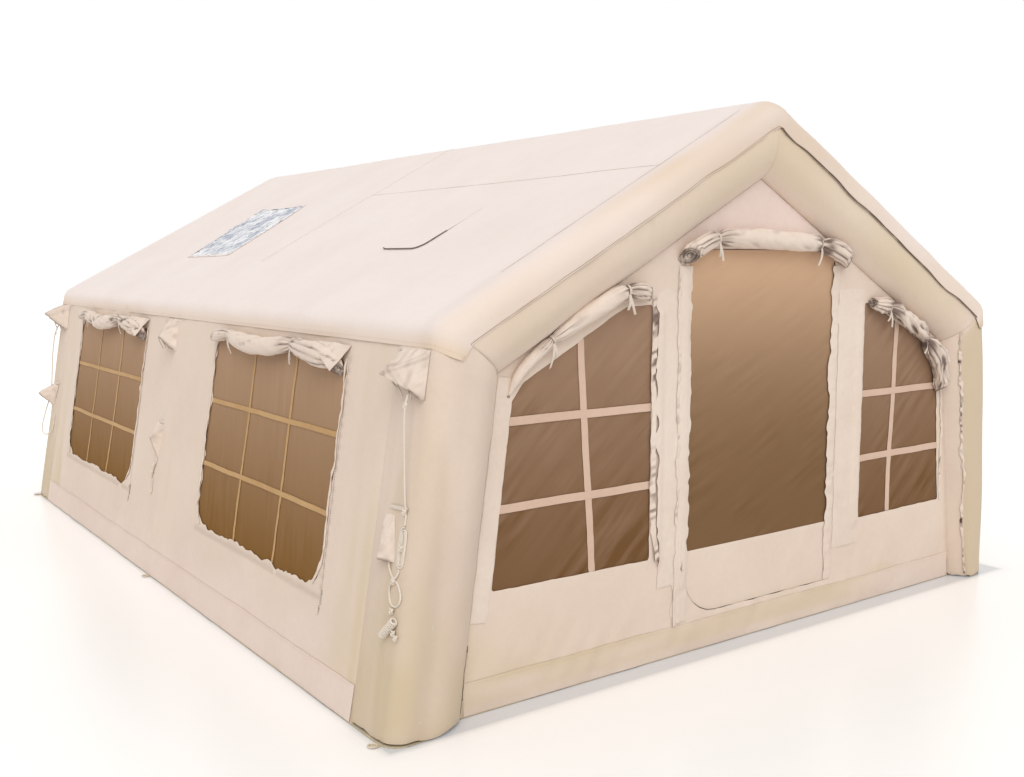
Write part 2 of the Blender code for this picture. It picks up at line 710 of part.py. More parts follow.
def make_window(name, outline, place, uprights, heights):
    """A mesh panel that fills an opening, with its border and tapes almost up to the wall's face."""
    panel = inset(outline, GAP)
    middle = -FABRIC + MESH_THICKNESS
    panes = window_panes(inset(panel, TAPE_BORDER), uprights, heights)
    steps = [(pane, pane, middle) for pane in panes]
    plate(name, panel, -FABRIC, -TAPE_INSET, place, "mesh", steps=steps)


def make_windows():
    knee = eave_corner(SLEEVE_WIDTH).y
    for name, shares, upright, heights in (
            ("front_left_window", LEFT_WINDOW_SHARES, LEFT_UPRIGHT_SHARES, LEFT_BAR_SHARES),
            ("front_right_window", RIGHT_WINDOW_SHARES, RIGHT_UPRIGHT_SHARES, RIGHT_BAR_SHARES)):
        outline = front_window_outline(shares)
        make_window(name, outline, front_place, [gable_points(upright)], [share * knee for share in heights])
    for side_name, side in (("left", -1), ("right", 1)):
        for end_name, end in (("front", -1), ("rear", 1)):
            centre, half, sill, head = side_window_box(end)
            us = [centre + s * SIDE_UPRIGHT_SHARE * half for s in (-1, 1)]
            uprights = [((u, sill), (u, head)) for u in us]
            heights = [sill + share * (head - sill) for share in SIDE_BAR_SHARES]
            outline = side_window_outline(end)
            make_window(side_name + "_" + end_name + "_window", outline, wall_place(side), uprights, heights)
    make_window("rear_window", rear_window_outline(), rear_place, [], [])


# Rolled covers

def smooth_line(points, count):
    """Evenly spaced points on a smooth curve through the given ones."""
    points = [Vector(p) for p in points]
    ends = [2 * points[0] - points[1]] + points + [2 * points[-1] - points[-2]]
    dense = []
    parts = 40
    for i in range(1, len(ends) - 2):
        a, b, c, d = ends[i - 1:i + 3]
        for step in range(parts):
            t = step / parts
            dense.append(0.5 * (2 * b + (c - a) * t + (2 * a - 5 * b + 4 * c - d) * t ** 2
                                + (3 * b - a - 3 * c + d) * t ** 3))
    dense.append(points[-1])
    lengths = [0.0]
    for a, b in zip(dense, dense[1:]):
        lengths.append(lengths[-1] + (b - a).length)
    line = []
    j = 0
    for i in range(count):
        target = lengths[-1] * i / (count - 1)
        while j < len(dense) - 2 and lengths[j + 1] < target:
            j += 1
        share = (target - lengths[j]) / (lengths[j + 1] - lengths[j])
        line.append(dense[j].lerp(dense[j + 1], share))
    return line


def make_roll(name, line, radius, place):
    """A rolled cover that lies on a wall's face along a line of (u, v)."""
    out = place(0, 0, 1) - place(0, 0, 0)
    centres = [place(p.x, p.y, 0) for p in smooth_line(line, ROLL_RINGS)]
    swell = smooth_line([(i, share) for i, share in enumerate(ROLL_SWELL_SHARES)], ROLL_RINGS)
    rings = []
    for i, centre in enumerate(centres):
        along = (centres[min(i + 1, ROLL_RINGS - 1)] - centres[max(i - 1, 0)]).normalized()
        across = along.cross(out)
        here = radius * swell[i].y
        middle = centre + out * (GAP + here * math.cos(math.pi / ROLL_SIDES))
        angles = [math.pi + (j + 0.5) * math.tau / ROLL_SIDES for j in range(ROLL_SIDES)]
        rings.append([middle + here * (math.cos(a) * out + math.sin(a) * across) for a in angles])
    ring_solid(name, rings, "canvas")


def make_rolls():
    make_roll("front_left_cover_roll", gable_points(LEFT_ROLL_SHARES), FRONT_ROLL_RADIUS, front_place)
    make_roll("front_right_cover_roll", gable_points(RIGHT_ROLL_SHARES), FRONT_ROLL_RADIUS, front_place)
    line = [(DOOR_LEFT + across * (DOOR_RIGHT - DOOR_LEFT), door_head() + up * AWNING_RADIUS)
            for across, up in AWNING_SHARES]
    make_roll("door_awning_roll", line, AWNING_RADIUS, front_place)
    for side_name, side in (("left", -1), ("right", 1)):
        for end_name, end in (("front", -1), ("rear", 1)):
            centre, half, sill, head = side_window_box(end)
            reach = half + SIDE_ROLL_OVERHANG
            high = head + SIDE_ROLL_RISE
            line = [(centre - reach, high), (centre, high - SIDE_ROLL_SAG), (centre + reach, high)]
            make_roll(side_name + "_" + end_name + "_cover_roll", line, SIDE_ROLL_RADIUS, wall_place(side))


# Door and zip sliders

def make_door():
    """The door hangs on its right edge and opens inwards; the mesh and the panel turn together."""
    axis = front_place(DOOR_RIGHT - GAP, 0, -FABRIC)
    opening = inset(door_outline(), GAP)
    middle = (DOOR_LEFT + DOOR_RIGHT) / 2
    half = (DOOR_RIGHT - DOOR_LEFT) / 2
    room = box_outline(half, DOOR_PANEL_TOP + GAP / 2, door_head(), middle)
    plate("door_mesh", clip(opening, room), -FABRIC, -FABRIC + MESH_THICKNESS, front_place, "mesh", origin=axis)
    room = box_outline(half, DOOR_SILL, DOOR_PANEL_TOP - GAP / 2, middle)
    plate("door_lower_panel", clip(opening, room), -FABRIC, 0, front_place, "canvas", origin=axis)


def make_slider(name, place, u, v):
    """A zip slider with its pull, in one piece, on the face of a wall."""
    body = SLIDER_HALF_LENGTH
    side = [(body, GAP), (body, SLIDER_HEIGHT / 2), (body / 2, SLIDER_HEIGHT), (-body / 2, SLIDER_HEIGHT),
            (-body, PULL_HIGH), (-PULL_LENGTH, PULL_HIGH), (-PULL_LENGTH, PULL_LOW), (-body, PULL_LOW), (-body, GAP)]

    def side_place(along, out, across):
        return place(u + across, v + along, out)
    plate(name, side, -SLIDER_HALF_WIDTH, SLIDER_HALF_WIDTH, side_place, "zip", origin=place(u, v, GAP))


def make_sliders():
    """Each slider stands at the low end of its zip, beside its opening."""
    make_slider("door_zip_slider", front_place, DOOR_LEFT - DOOR_SLIDER_MARGIN, DOOR_SILL + DOOR_CORNER)
    for name, shares, side in (("front_left_zip_slider", LEFT_WINDOW_SHARES, 1),
                               ("front_right_zip_slider", RIGHT_WINDOW_SHARES, -1)):
        u, v = gable_points(shares)[0]
        make_slider(name, front_place, u + side * SLIDER_MARGIN, v + SLIDER_MARGIN)
    for side_name, side in (("left", -1), ("right", 1)):
        for end_name, end in (("front", -1), ("rear", 1)):
            centre, half, sill, head = side_window_box(end)
            name = side_name + "_" + end_name + "_zip_slider"
            make_slider(name, wall_place(side), centre - half - SLIDER_MARGIN, sill)


# Roof fittings

def skylight_outline():
    return [(along * HALF_LENGTH, down * SLOPE_LENGTH) for along, down in SKYLIGHT_SHARES]


def jack_centre():
    along, down = JACK_CENTRE_SHARES
    return along * HALF_LENGTH, down * SLOPE_LENGTH


def jack_outline():
    u, v = jack_centre()
    return box_outline(JACK_HALF_WIDTH, v - JACK_HALF_WIDTH, v + JACK_HALF_WIDTH, u)


def make_roof_fittings():
    outline = inset(skylight_outline(), GAP)
    plate("skylight", outline, FLY_OUTER - FILM_THICKNESS, FLY_OUTER, roof_place, "film")
    plate("stove_jack_panel", inset(jack_outline(), GAP), GAP, FLY_OUTER, roof_place, "heatproof")
    u, v = jack_centre()
    half_length = JACK_HALF_WIDTH + JACK_FLAP_END_OVERLAP
    corners = box_outline(JACK_HALF_WIDTH + JACK_FLAP_OVERLAP, v - half_length, v + half_length, u)
    outline = rounded(corners, (MIN_BEND, MIN_BEND, JACK_FLAP_CORNER, JACK_FLAP_CORNER))
    low = FLY_OUTER + GAP
    axis = roof_place(u, v - half_length, low + JACK_FLAP_THICKNESS)
    plate("stove_jack_flap", outline, low, low + JACK_FLAP_THICKNESS, roof_place, "roof", origin=axis)


# Inflation valve

def make_valve():
    """The valve stands on the flat inner facet of the rear arch's right leg."""
    depth = TUBE_INSET + 2 * TUBE_RADIUS

    def place(u, v, w):
        k = depth + w
        x = BASE_HALF_WIDTH - v * math.sin(LEAN) - k * math.cos(LEAN)
        return Vector((x, END_ARCH_Y + u, v * math.cos(LEAN) - k * math.sin(LEAN)))
    height = up_wall(VALVE_HEIGHT)
    for name, radius, low, high in (("inflation_valve", VALVE_RADIUS, GAP, GAP + VALVE_DEPTH),
                                    ("inflation_valve_cap", CAP_RADIUS, VALVE_DEPTH + 2 * GAP,
                                     VALVE_DEPTH + 2 * GAP + CAP_THICKNESS)):
        circle = arc(Vector((0, height)), radius, 0, math.tau, VALVE_SIDES)[:-1]
        origin = place(0, height + CAP_HINGE_REACH, low) if "cap" in name else place(0, height, low)
        plate(name, [tuple(p) for p in circle], low, high, place, "valve", origin=origin)


# Guy flaps and ropes

def flap_middles():
    end = HALF_LENGTH - FLAP_END_MARGIN
    return {"front": -end, "middle": FLAP_MIDDLE_OFFSET, "rear": end}


def make_guy_flaps():
    high = HEM_HEIGHT - FLAP_TOP_DROP
    for part, middle in flap_middles().items():
        def upper(across, down, out=0):
            return middle + across * FLAP_WIDTH_ON_WALL, high - down * FLAP_HEIGHT, GAP + out * FLAP_REACH

        def lower(across, down, out=0):
            return middle + across * LOW_FLAP_WIDTH, LOW_FLAP_TOP - down * LOW_FLAP_HEIGHT, GAP + out * LOW_FLAP_REACH
        base = [upper(*share) for share in FLAP_BASE_SHARES]
        tip = upper(*FLAP_TIP_SHARES[part])
        lip = upper(*FLAP_LIP_SHARES)
        for side_name, side in (("left", -1), ("right", 1)):
            if part == "front":
                lipped_flap("guy_flap_" + side_name + "_" + part, side, base, lip, tip)
            else:
                pyramid("guy_flap_" + side_name + "_" + part, side, base, tip)
        base = [lower(*share) for share in LOW_FLAP_BASE_SHARES[part]]
        pyramid("lower_guy_flap_left_" + part, -1, base, lower(*LOW_FLAP_TIP_SHARES[part]))


def wall_point(side, u, z, w):
    return wall_place(side)(u, up_wall(z), w)


def pyramid(name, side, base, tip):
    """A folded flap: a flat base on the wall and a tip that stands out."""
    points = [wall_point(side, *p) for p in base + [tip]]
    count = len(base)
    faces = [tuple(range(count))] + [(i, (i + 1) % count, count) for i in range(count)]
    add_solid(name, points, faces, "canvas")


def lipped_flap(name, side, base, lip, tip):
    """The front flap droops: between its tip and its lower front corner it has a lip."""
    points = [wall_point(side, *p) for p in base + [lip, tip]]
    faces = [(0, 1, 2, 3), (0, 1, 5), (1, 4, 5), (1, 2, 4), (2, 3, 4), (3, 5, 4), (3, 0, 5)]
    add_solid(name, points, faces, "canvas")


def make_cord(name, points, resolution):
    curve = bpy.data.curves.new(name, "CURVE")
    curve.dimensions = "3D"
    curve.bevel_depth = ROPE_DIAMETER / 2
    curve.bevel_resolution = resolution
    curve.use_fill_caps = True
    spline = curve.splines.new("POLY")
    spline.points.add(len(points) - 1)
    for item, point in zip(spline.points, points):
        item.co = (*point, 1)
    cord = bpy.data.objects.new(name, curve)
    bpy.context.collection.objects.link(cord)
    curve.materials.append(make_material(name, "rope"))


def make_free_rope(name, route):
    """A rope along a smooth route, nowhere nearer to the wall than a rope that lies on it."""
    length = sum((Vector(b) - Vector(a)).length for a, b in zip(route, route[1:]))
    line = smooth_line(route, round(length / ROPE_STEP) + 4)
    make_cord(name, [wall_point(-1, p.x, p.y, max(p.z, ROPE_REST)) for p in line], 2)


def hank_points():
    """Loops wound outwards round two ends, flat against the wall; the last point is the outer end."""
    points = []
    for i in range(round(HANK_LOOPS * ROPE_STEPS_PER_LOOP) + 1):
        t = i / ROPE_STEPS_PER_LOOP
        a = math.tau * t
        width = HANK_HALF_WIDTH + HANK_PITCH * t
        run = HANK_RUN * min(max(2 * math.sin(a), -1), 1)
        u = HANK_CENTRE[0] + width * math.cos(a)
        points.append(wall_point(-1, u, HANK_CENTRE[1] + width * math.sin(a) + run, ROPE_REST))
    return points


def wound_points():
    """The spare rope wound round itself, like a spring that lies on the wall."""
    start, end = Vector(WOUND_START), Vector(WOUND_END)
    along = (end - start).normalized()
    points = []
    for i in range(round(WOUND_LOOPS * ROPE_STEPS_PER_LOOP) + 1):
        a = math.tau * i / ROPE_STEPS_PER_LOOP
        centre = start.lerp(end, i / (WOUND_LOOPS * ROPE_STEPS_PER_LOOP))
        u = centre.x + along.y * WOUND_RADIUS * math.cos(a)
        z = centre.y - along.x * WOUND_RADIUS * math.cos(a)
        points.append(wall_point(-1, u, z, ROPE_REST + WOUND_RADIUS * (1 + math.sin(a))))
    return points


def least_gap(points):
    """The least clearance between turns, measured on points more than a quarter turn apart."""
    apart = ROPE_STEPS_PER_LOOP // 4
    least = min((points[i] - points[j]).length for i in range(len(points)) for j in range(i + apart, len(points)))
    return least - ROPE_DIAMETER


def make_ropes():
    make_free_rope("guy_rope_front_left", FRONT_ROPE)
    make_free_rope("guy_rope_lower_front_left", LOWER_ROPE)
    make_free_rope("guy_rope_middle_left", MIDDLE_ROPE)
    make_free_rope("guy_rope_rear_left", REAR_ROPE)
    for name, points in (("guy_rope_front_left_hank", hank_points()),
                         ("guy_rope_lower_front_left_winding", wound_points())):
        print(name, "least gap to itself, mm:", round(1000 * least_gap(points), 2))
        make_cord(name, points, 1)


clear_scene()
make_groundsheet()
make_frame()
make_sleeve("front_arch_sleeve", -1)
make_sleeve("rear_arch_sleeve", 1)
make_walls()
make_fly()
make_windows()
make_rolls()
make_door()
make_sliders()
make_roof_fittings()
make_valve()
make_guy_flaps()
make_ropes()
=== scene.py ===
import math
from functools import partial

import bmesh
import bpy
import numpy as np
from mathutils import Matrix, Vector
from mathutils.geometry import delaunay_2d_cdt
from mathutils.kdtree import KDTree


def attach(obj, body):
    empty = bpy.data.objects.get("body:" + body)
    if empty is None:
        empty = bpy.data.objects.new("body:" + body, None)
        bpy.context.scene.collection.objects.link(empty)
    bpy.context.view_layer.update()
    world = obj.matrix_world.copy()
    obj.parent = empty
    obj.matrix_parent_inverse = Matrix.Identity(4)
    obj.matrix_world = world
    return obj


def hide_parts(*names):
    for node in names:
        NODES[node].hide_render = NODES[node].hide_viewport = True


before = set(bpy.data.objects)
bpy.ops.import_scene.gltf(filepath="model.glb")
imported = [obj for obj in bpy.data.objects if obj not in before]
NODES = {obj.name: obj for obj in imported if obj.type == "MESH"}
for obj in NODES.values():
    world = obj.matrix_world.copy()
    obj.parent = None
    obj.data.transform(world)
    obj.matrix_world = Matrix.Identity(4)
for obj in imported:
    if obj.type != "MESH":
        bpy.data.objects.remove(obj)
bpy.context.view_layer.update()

SIDES = {"left": -1, "right": 1}
ENDS = {"front": -1, "rear": 1}
CORNERS = [(side_name + "_" + end_name, side, end)
           for side_name, side in SIDES.items() for end_name, end in ENDS.items()]

# Shell, as in the part
GAP, FABRIC, MIN_BEND = 0.0003, 0.003, 0.01
BASE_HALF_WIDTH, EAVE_HALF_WIDTH = 1.865, 1.634
EAVE_HEIGHT, RIDGE_HEIGHT = 1.43, 2.32
HALF_LENGTH, GABLE_Y = 2.54, 2.45
EAVE_BEND, RIDGE_BEND = 0.07, 0.15
SLEEVE_WIDTH, SLEEVE_FOOT_WIDTH = 0.295, 0.33
SLEEVE_CORNER, SLEEVE_RETURN = 0.08, 0.29
FLOOR_TOP, HEM_HEIGHT, FLAP_CORNER_HEIGHT = 0.0033, 1.345, 1.30
FLAP_WIDTH, FLAP_END_WIDTH, FLY_OUTER = 0.115, 0.085, 0.0033
TUBE_RADIUS, TUBE_DEPTH, TUBE_BEND, END_ARCH_Y = 0.10, 0.1066, 0.25, 2.4367
LEAN = math.atan2(BASE_HALF_WIDTH - EAVE_HALF_WIDTH, EAVE_HEIGHT)
PITCH = math.atan2(RIDGE_HEIGHT - EAVE_HEIGHT, EAVE_HALF_WIDTH)
SLOPE_LENGTH = EAVE_HALF_WIDTH / math.cos(PITCH)
ROOF_ANGLE = math.pi / 2 - PITCH
# How far the front right leg, which stands slack, is drawn in at its foot
SLACK = 0.125

# Door and windows
DOOR_LEFT, DOOR_RIGHT, DOOR_SILL, DOOR_HEAD = -0.41, 0.515, 0.155, 1.690
DOOR_CORNER, DOOR_PANEL_TOP = 0.19, 0.43
LEFT_WINDOW = [(-0.61, 0.435), (-0.61, 1.47), (-0.755, 1.463), (-1.245, 1.20), (-1.30, 1.13), (-1.39, 0.445)]
RIGHT_WINDOW = [(0.75, 0.42), (0.75, 1.45), (0.90, 1.40), (1.25, 1.235), (1.36, 1.05), (1.41, 0.425)]
SIDE_CENTRE, SIDE_HALF = 1.215, 0.67
SIDE_SILL, SIDE_HEAD = 0.385 / math.cos(LEAN), 1.27 / math.cos(LEAN)
WINDOW_ZIP_LINES = (-0.5747, 0.7157)

# Thickness of the cloths as they are drawn
WALL_CLOTH, ROLLED_CLOTH, TAPE_CLOTH, THIN_CLOTH, NET_CLOTH = 0.0025, 0.0016, 0.0012, 0.0008, 0.001


# Lines and outlines

def run_of(line):
    """Distance along a line of points."""
    return np.concatenate([[0], np.cumsum(np.linalg.norm(np.diff(line, axis=0), axis=1))])


def unit(vectors):
    return vectors / np.linalg.norm(vectors, axis=-1, keepdims=True)


def heading(path):
    return unit(np.gradient(path, axis=0))


def spaced(line, step):
    line = np.array(line, float)
    run = run_of(line)
    places = np.linspace(0, run[-1], max(round(run[-1] / step), 2) + 1)
    return np.stack([np.interp(places, run, line[:, i]) for i in range(line.shape[1])], axis=1)


def dense_line(points, step):
    """Points of any dimension on a smooth curve through the given ones, evenly spaced."""
    points = np.array(points, float)
    ends = np.vstack([2 * points[0] - points[1], points, 2 * points[-1] - points[-2]])
    t = np.linspace(0, 1, 40, endpoint=False)[:, None]
    parts = [0.5 * (2 * b + (c - a) * t + (2 * a - 5 * b + 4 * c - d) * t ** 2
                    + (3 * b - a - 3 * c + d) * t ** 3)
             for a, b, c, d in zip(ends, ends[1:], ends[2:], ends[3:])]
    return spaced(np.vstack(parts + [points[-1:]]), step)


def closed(outline):
    return np.vstack([outline, outline[:1]])


def signed_area(outline):
    x, y = np.array(outline, float).T
    return np.sum(x * np.roll(y, -1) - np.roll(x, -1) * y) / 2


def inset(outline, distance):
    """The outline moved inwards by a distance, or outwards by a negative one."""
    p = np.array(outline, float)
    edge = np.roll(p, -1, 0) - p
    normal = unit(np.stack([-edge[:, 1], edge[:, 0]], 1)) * np.sign(signed_area(p))
    middle = unit(normal + np.roll(normal, 1, 0))
    return p + middle * distance / np.maximum(np.sum(middle * normal, 1), 0.3)[:, None]


def rounded(outline, radii, steps=6):
    """The outline with each corner rounded by its radius."""
    points = []
    for i, corner in enumerate(outline):
        corner = Vector(corner)
        before = (Vector(outline[i - 1]) - corner).normalized()
        after = (Vector(outline[(i + 1) % len(outline)]) - corner).normalized()
        half = before.angle(after) / 2
        centre = corner + (before + after).normalized() * radii[i] / math.sin(half)
        start = corner + before * radii[i] / math.tan(half) - centre
        turn = start.angle_signed(corner + after * radii[i] / math.tan(half) - centre)
        for step in range(steps + 1):
            a = math.atan2(start.y, start.x) - turn * step / steps
            points.append((centre.x + radii[i] * math.cos(a), centre.y + radii[i] * math.sin(a)))
    return points


def box_outline(half_u, low_v, high_v, centre_u=0.0):
    return [(centre_u - half_u, low_v), (centre_u + half_u, low_v),
            (centre_u + half_u, high_v), (centre_u - half_u, high_v)]


def inside(points, outline):
    """Which points lie inside a closed outline."""
    x, y = points[:, 0], points[:, 1]
    found = np.zeros(len(points), bool)
    for (ax, ay), (bx, by) in zip(outline, np.roll(outline, -1, 0)):
        if ay != by:
            found ^= ((ay > y) != (by > y)) & (x < (bx - ax) * (y - ay) / (by - ay) + ax)
    return found


def off_line(u, v, path):
    """Distance of each (u, v) from a path of points."""
    best = np.full(np.shape(u), 9.0)
    for (ax, ay), (bx, by) in zip(path, path[1:]):
        dx, dy = bx - ax, by - ay
        share = np.clip(((u - ax) * dx + (v - ay) * dy) / max(dx * dx + dy * dy, 1e-9), 0, 1)
        best = np.minimum(best, np.hypot(u - ax - share * dx, v - ay - share * dy))
    return best


def noise(u, v, seed):
    """A smooth random field from -1 to 1 with cells of size 1."""
    table = np.random.default_rng(seed).uniform(-1, 1, (64, 64))
    u, v = np.asarray(u, float) + 20.3, np.asarray(v, float) + 20.7
    i, j = np.floor(u).astype(int), np.floor(v).astype(int)
    f, g = u - i, v - j
    f, g = f * f * f * (f * (6 * f - 15) + 10), g * g * g * (g * (6 * g - 15) + 10)
    a, b = table[i % 64, j % 64], table[(i + 1) % 64, j % 64]
    c, d = table[i % 64, (j + 1) % 64], table[(i + 1) % 64, (j + 1) % 64]
    return (a * (1 - f) + b * f) * (1 - g) + (c * (1 - f) + d * f) * g


def ease(x, low, high):
    """0 below low, 1 above high, smooth between."""
    s = np.clip((x - low) / (high - low), 0, 1)
    return s * s * (3 - 2 * s)


def bump_at(x, middle, width):
    return np.exp(-((x - middle) / width) ** 2)


# Geometry of the shell

def eave_corner(k):
    """(x, z) where the wall's line and the roof's line meet, at depth k."""
    side, top = BASE_HALF_WIDTH * math.cos(LEAN) - k, RIDGE_HEIGHT * math.cos(PITCH) - k
    spread = math.cos(LEAN + PITCH)
    return ((side * math.cos(PITCH) - top * math.sin(LEAN)) / spread,
            (top * math.cos(LEAN) - side * math.sin(PITCH)) / spread)


def leg_x(k, z):
    return BASE_HALF_WIDTH - (k + z * math.sin(LEAN)) / math.cos(LEAN)


def wall_run_to(low):
    return (eave_corner(EAVE_BEND)[1] + EAVE_BEND * math.sin(LEAN) - low) / math.cos(LEAN)


RIDGE_RUN = RIDGE_BEND * PITCH
SLOPE_RUN = (eave_corner(EAVE_BEND)[0] + (EAVE_BEND - RIDGE_BEND) * math.cos(ROOF_ANGLE)) / math.cos(PITCH)
EAVE_RUN = EAVE_BEND * (ROOF_ANGLE - LEAN)
WALL_START = RIDGE_RUN + SLOPE_RUN + EAVE_RUN
SLEEVE_RUN, FLY_RUN = wall_run_to(FLOOR_TOP), wall_run_to(HEM_HEIGHT)
FOOT, HEM = WALL_START + SLEEVE_RUN, WALL_START + FLY_RUN


def frame_point(k, t, low, low_k, wall_run, eave_bend=EAVE_BEND, ridge_bend=RIDGE_BEND):
    """(x, z) at depth k from the frame line; t runs down from the ridge, on the right where positive."""
    side, t = np.where(t < 0, -1.0, 1.0), np.abs(t)
    ridge, eave = np.maximum(ridge_bend - k, MIN_BEND), np.maximum(eave_bend - k, MIN_BEND)
    top_z = RIDGE_HEIGHT - (k + ridge) / math.cos(PITCH)
    eave_x, eave_z = eave_corner(k + eave)
    a = math.pi / 2 - PITCH * np.clip(t / RIDGE_RUN, 0, 1)
    x, z = ridge * np.cos(a), top_z + ridge * np.sin(a)
    share = np.clip((t - RIDGE_RUN) / SLOPE_RUN, 0, 1)
    cos, sin = math.cos(ROOF_ANGLE), math.sin(ROOF_ANGLE)
    x = x + share * (eave_x + (eave - ridge) * cos)
    z = z + share * (eave_z - top_z + (eave - ridge) * sin)
    a = ROOF_ANGLE + (LEAN - ROOF_ANGLE) * np.clip((t - RIDGE_RUN - SLOPE_RUN) / EAVE_RUN, 0, 1)
    x, z = x + eave * (np.cos(a) - cos), z + eave * (np.sin(a) - sin)
    share = np.maximum((t - WALL_START) / wall_run, 0)
    x = x + share * (leg_x(low_k, low) - eave_x - eave * math.cos(LEAN))
    z = z + share * (low - eave_z - eave * math.sin(LEAN))
    return side * x, z


class Cloth:
    """Places on a cloth: base is its plain surface, relief its height over it, turn its outer side."""

    def __init__(self, base, relief, turn):
        self.base, self.relief, self.turn = base, relief, turn

    def __call__(self, u, v, lift=0.0, step=0.002):
        u, v = np.atleast_1d(np.asarray(u, float)), np.atleast_1d(np.asarray(v, float))
        out = np.cross(self.base(u + step, v) - self.base(u - step, v),
                       self.base(u, v + step) - self.base(u, v - step))
        out *= self.turn / np.maximum(np.linalg.norm(out, axis=1), 1e-12)[:, None]
        return self.base(u, v) + out * (self.relief(u, v) + lift)[:, None]

    def raised(self, more):
        """The same cloth at another height, given as a number or as a function of (u, v)."""
        def relief(u, v):
            return self.relief(u, v) + (more(u, v) if callable(more) else more)
        return Cloth(self.base, relief, self.turn)

    def plain(self):
        """The same surface without its relief."""
        return Cloth(self.base, lambda u, v: 0 * u, self.turn)


# Meshes

def whole_part(points, faces, flat=None, khaki_and_painted_light=0.0, painted_shade=0.0):
    zero = np.zeros(len(points))
    return points, faces, points[:, :2] if flat is None else flat, zero + khaki_and_painted_light, zero + painted_shade


def link_object(name, data):
    made = bpy.data.objects.new(name, data)
    bpy.context.collection.objects.link(made)
    return made


def make_piece(name, parts, material, nodes=(), thickness=0.0, offset=-1.0, body="tent"):
    """One piece of parts, each with points and faces, and maybe places on the flat, khaki mixed with painted
    light and shade, and painted shade.
    """
    parts = [whole_part(*part) for part in parts]
    points, flat, khaki_and_painted_light, painted_shade = (np.concatenate([part[i] for part in parts]) for i in (0, 2, 3, 4))
    starts = np.cumsum([0] + [len(part[0]) for part in parts]).tolist()
    mesh = bpy.data.meshes.new(name)
    mesh.from_pydata(points.tolist(), [],
                     [[start + i for i in face] for start, part in zip(starts, parts) for face in part[1]])
    mesh.materials.append(material)
    layer = mesh.uv_layers.new(name="cloth")
    corner = np.zeros(len(mesh.loops), int)
    mesh.loops.foreach_get("vertex_index", corner)
    layer.data.foreach_set("uv", flat[corner].astype(np.float32).ravel())
    for mark, values in (("khaki_and_painted_light", khaki_and_painted_light), ("painted_shade", painted_shade)):
        attribute = mesh.attributes.new(mark, "FLOAT", "POINT")
        attribute.data.foreach_set("value", values.astype(np.float32))
    mesh.shade_smooth()
    made = link_object(name, mesh)
    if thickness:
        wall = made.modifiers.new("thickness", "SOLIDIFY")
        wall.thickness, wall.offset = thickness, offset
        # The wide faces rule the shading, so that a hem's thin edge doesn't darken the cloth beside it
        even = made.modifiers.new("even_shading", "WEIGHTED_NORMAL")
        even.mode, even.weight = "FACE_AREA", 80
    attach(made, body)
    if nodes:
        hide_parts(*nodes)
    return made


def make_sheet(name, part, material, slot, node, thickness, body="tent", **facts):
    """A piece that is one cloth; its slot and its flat size, how it is held and what it rests on are not used.
    """
    make_piece(name, [part], material, [node], thickness, body=body)


def grid_faces(rows, columns, loop=False, flip=False):
    faces = []
    for i in range(rows - 1):
        for j in range(columns if loop else columns - 1):
            a, b = i * columns + j, i * columns + (j + 1) % columns
            face = [a, b, b + columns, a + columns]
            faces.append(face[::-1] if flip else face)
    return faces


def cut_sheet(at, outline, holes, spacing, marks=None, edge=0.7):
    """One sheet of cloth cut to an outline with its holes, in triangles."""
    loops = [spaced(closed(loop), spacing * edge)[:-1] for loop in [outline, *holes]]

    def on_cloth(points):
        return np.logical_xor.reduce([inside(points, loop) for loop in loops])
    low, high = loops[0].min(0), loops[0].max(0)
    rise = spacing * math.sqrt(0.75)
    rows = []
    for i, v in enumerate(np.arange(low[1] + rise / 2, high[1], rise)):
        us = np.arange(low[0] + spacing * (0.25 + 0.5 * (i % 2)), high[0], spacing)
        rows.append(np.stack([us, np.full(len(us), v)], 1))
    inner = np.vstack(rows)
    inner = inner[on_cloth(inner)]
    rim = np.vstack(loops)
    tree = KDTree(len(rim))
    for i, (u, v) in enumerate(rim):
        tree.insert((u, v, 0), i)
    tree.balance()
    far = [tree.find((u, v, 0))[2] > spacing * 0.55 for u, v in inner]
    points = np.vstack([rim, inner[np.array(far)]])
    edges, start = [], 0
    for loop in loops:
        edges += [(start + i, start + (i + 1) % len(loop)) for i in range(len(loop))]
        start += len(loop)
    found, _, faces, *_ = delaunay_2d_cdt([Vector(p) for p in points], edges, [], 0, 1e-7)
    points, faces = np.array([tuple(p) for p in found]), np.array(faces)
    faces = faces[on_cloth(points[faces].mean(1))]
    a, b, c = (points[faces[:, i]] for i in range(3))
    area = np.cross(b - a, c - a)
    faces = np.where((area * at.turn < 0)[:, None], faces[:, ::-1], faces)[np.abs(area) > 1e-12]
    u, v = points.T
    khaki_and_painted_light, painted_shade = marks(u, v) if marks else (0.0, 0.0)
    return at(u, v), faces.tolist(), points, khaki_and_painted_light, painted_shade


def tape(at, path, width, lift, spacing=0.015, columns=3, ruffle=None, khaki_and_painted_light=0.0, painted_shade=0.0, flip=None):
    """A flat tape along a path of (u, v) on a cloth; ruffle and painted shade may be functions of the run along
    it.
    """
    line = spaced(path, spacing)
    along, run = heading(line), run_of(line)
    zero = 0 * run
    points, flat, folds = [], [], []
    for share in np.linspace(-0.5, 0.5, columns):
        side, high = ruffle(run, share) if ruffle else (0, 0)
        side = zero + share * width + side
        points.append(at(line[:, 0] - along[:, 1] * side, line[:, 1] + along[:, 0] * side,
                         zero + lift + high))
        flat.append(np.stack([zero + share * width, run], 1))
        folds.append(zero + (painted_shade(run, share) if callable(painted_shade) else painted_shade))
    flip = at.turn > 0 if flip is None else flip
    faces = grid_faces(columns, len(line), flip=flip)
    return np.vstack(points), faces, np.vstack(flat), khaki_and_painted_light, np.hstack(folds)


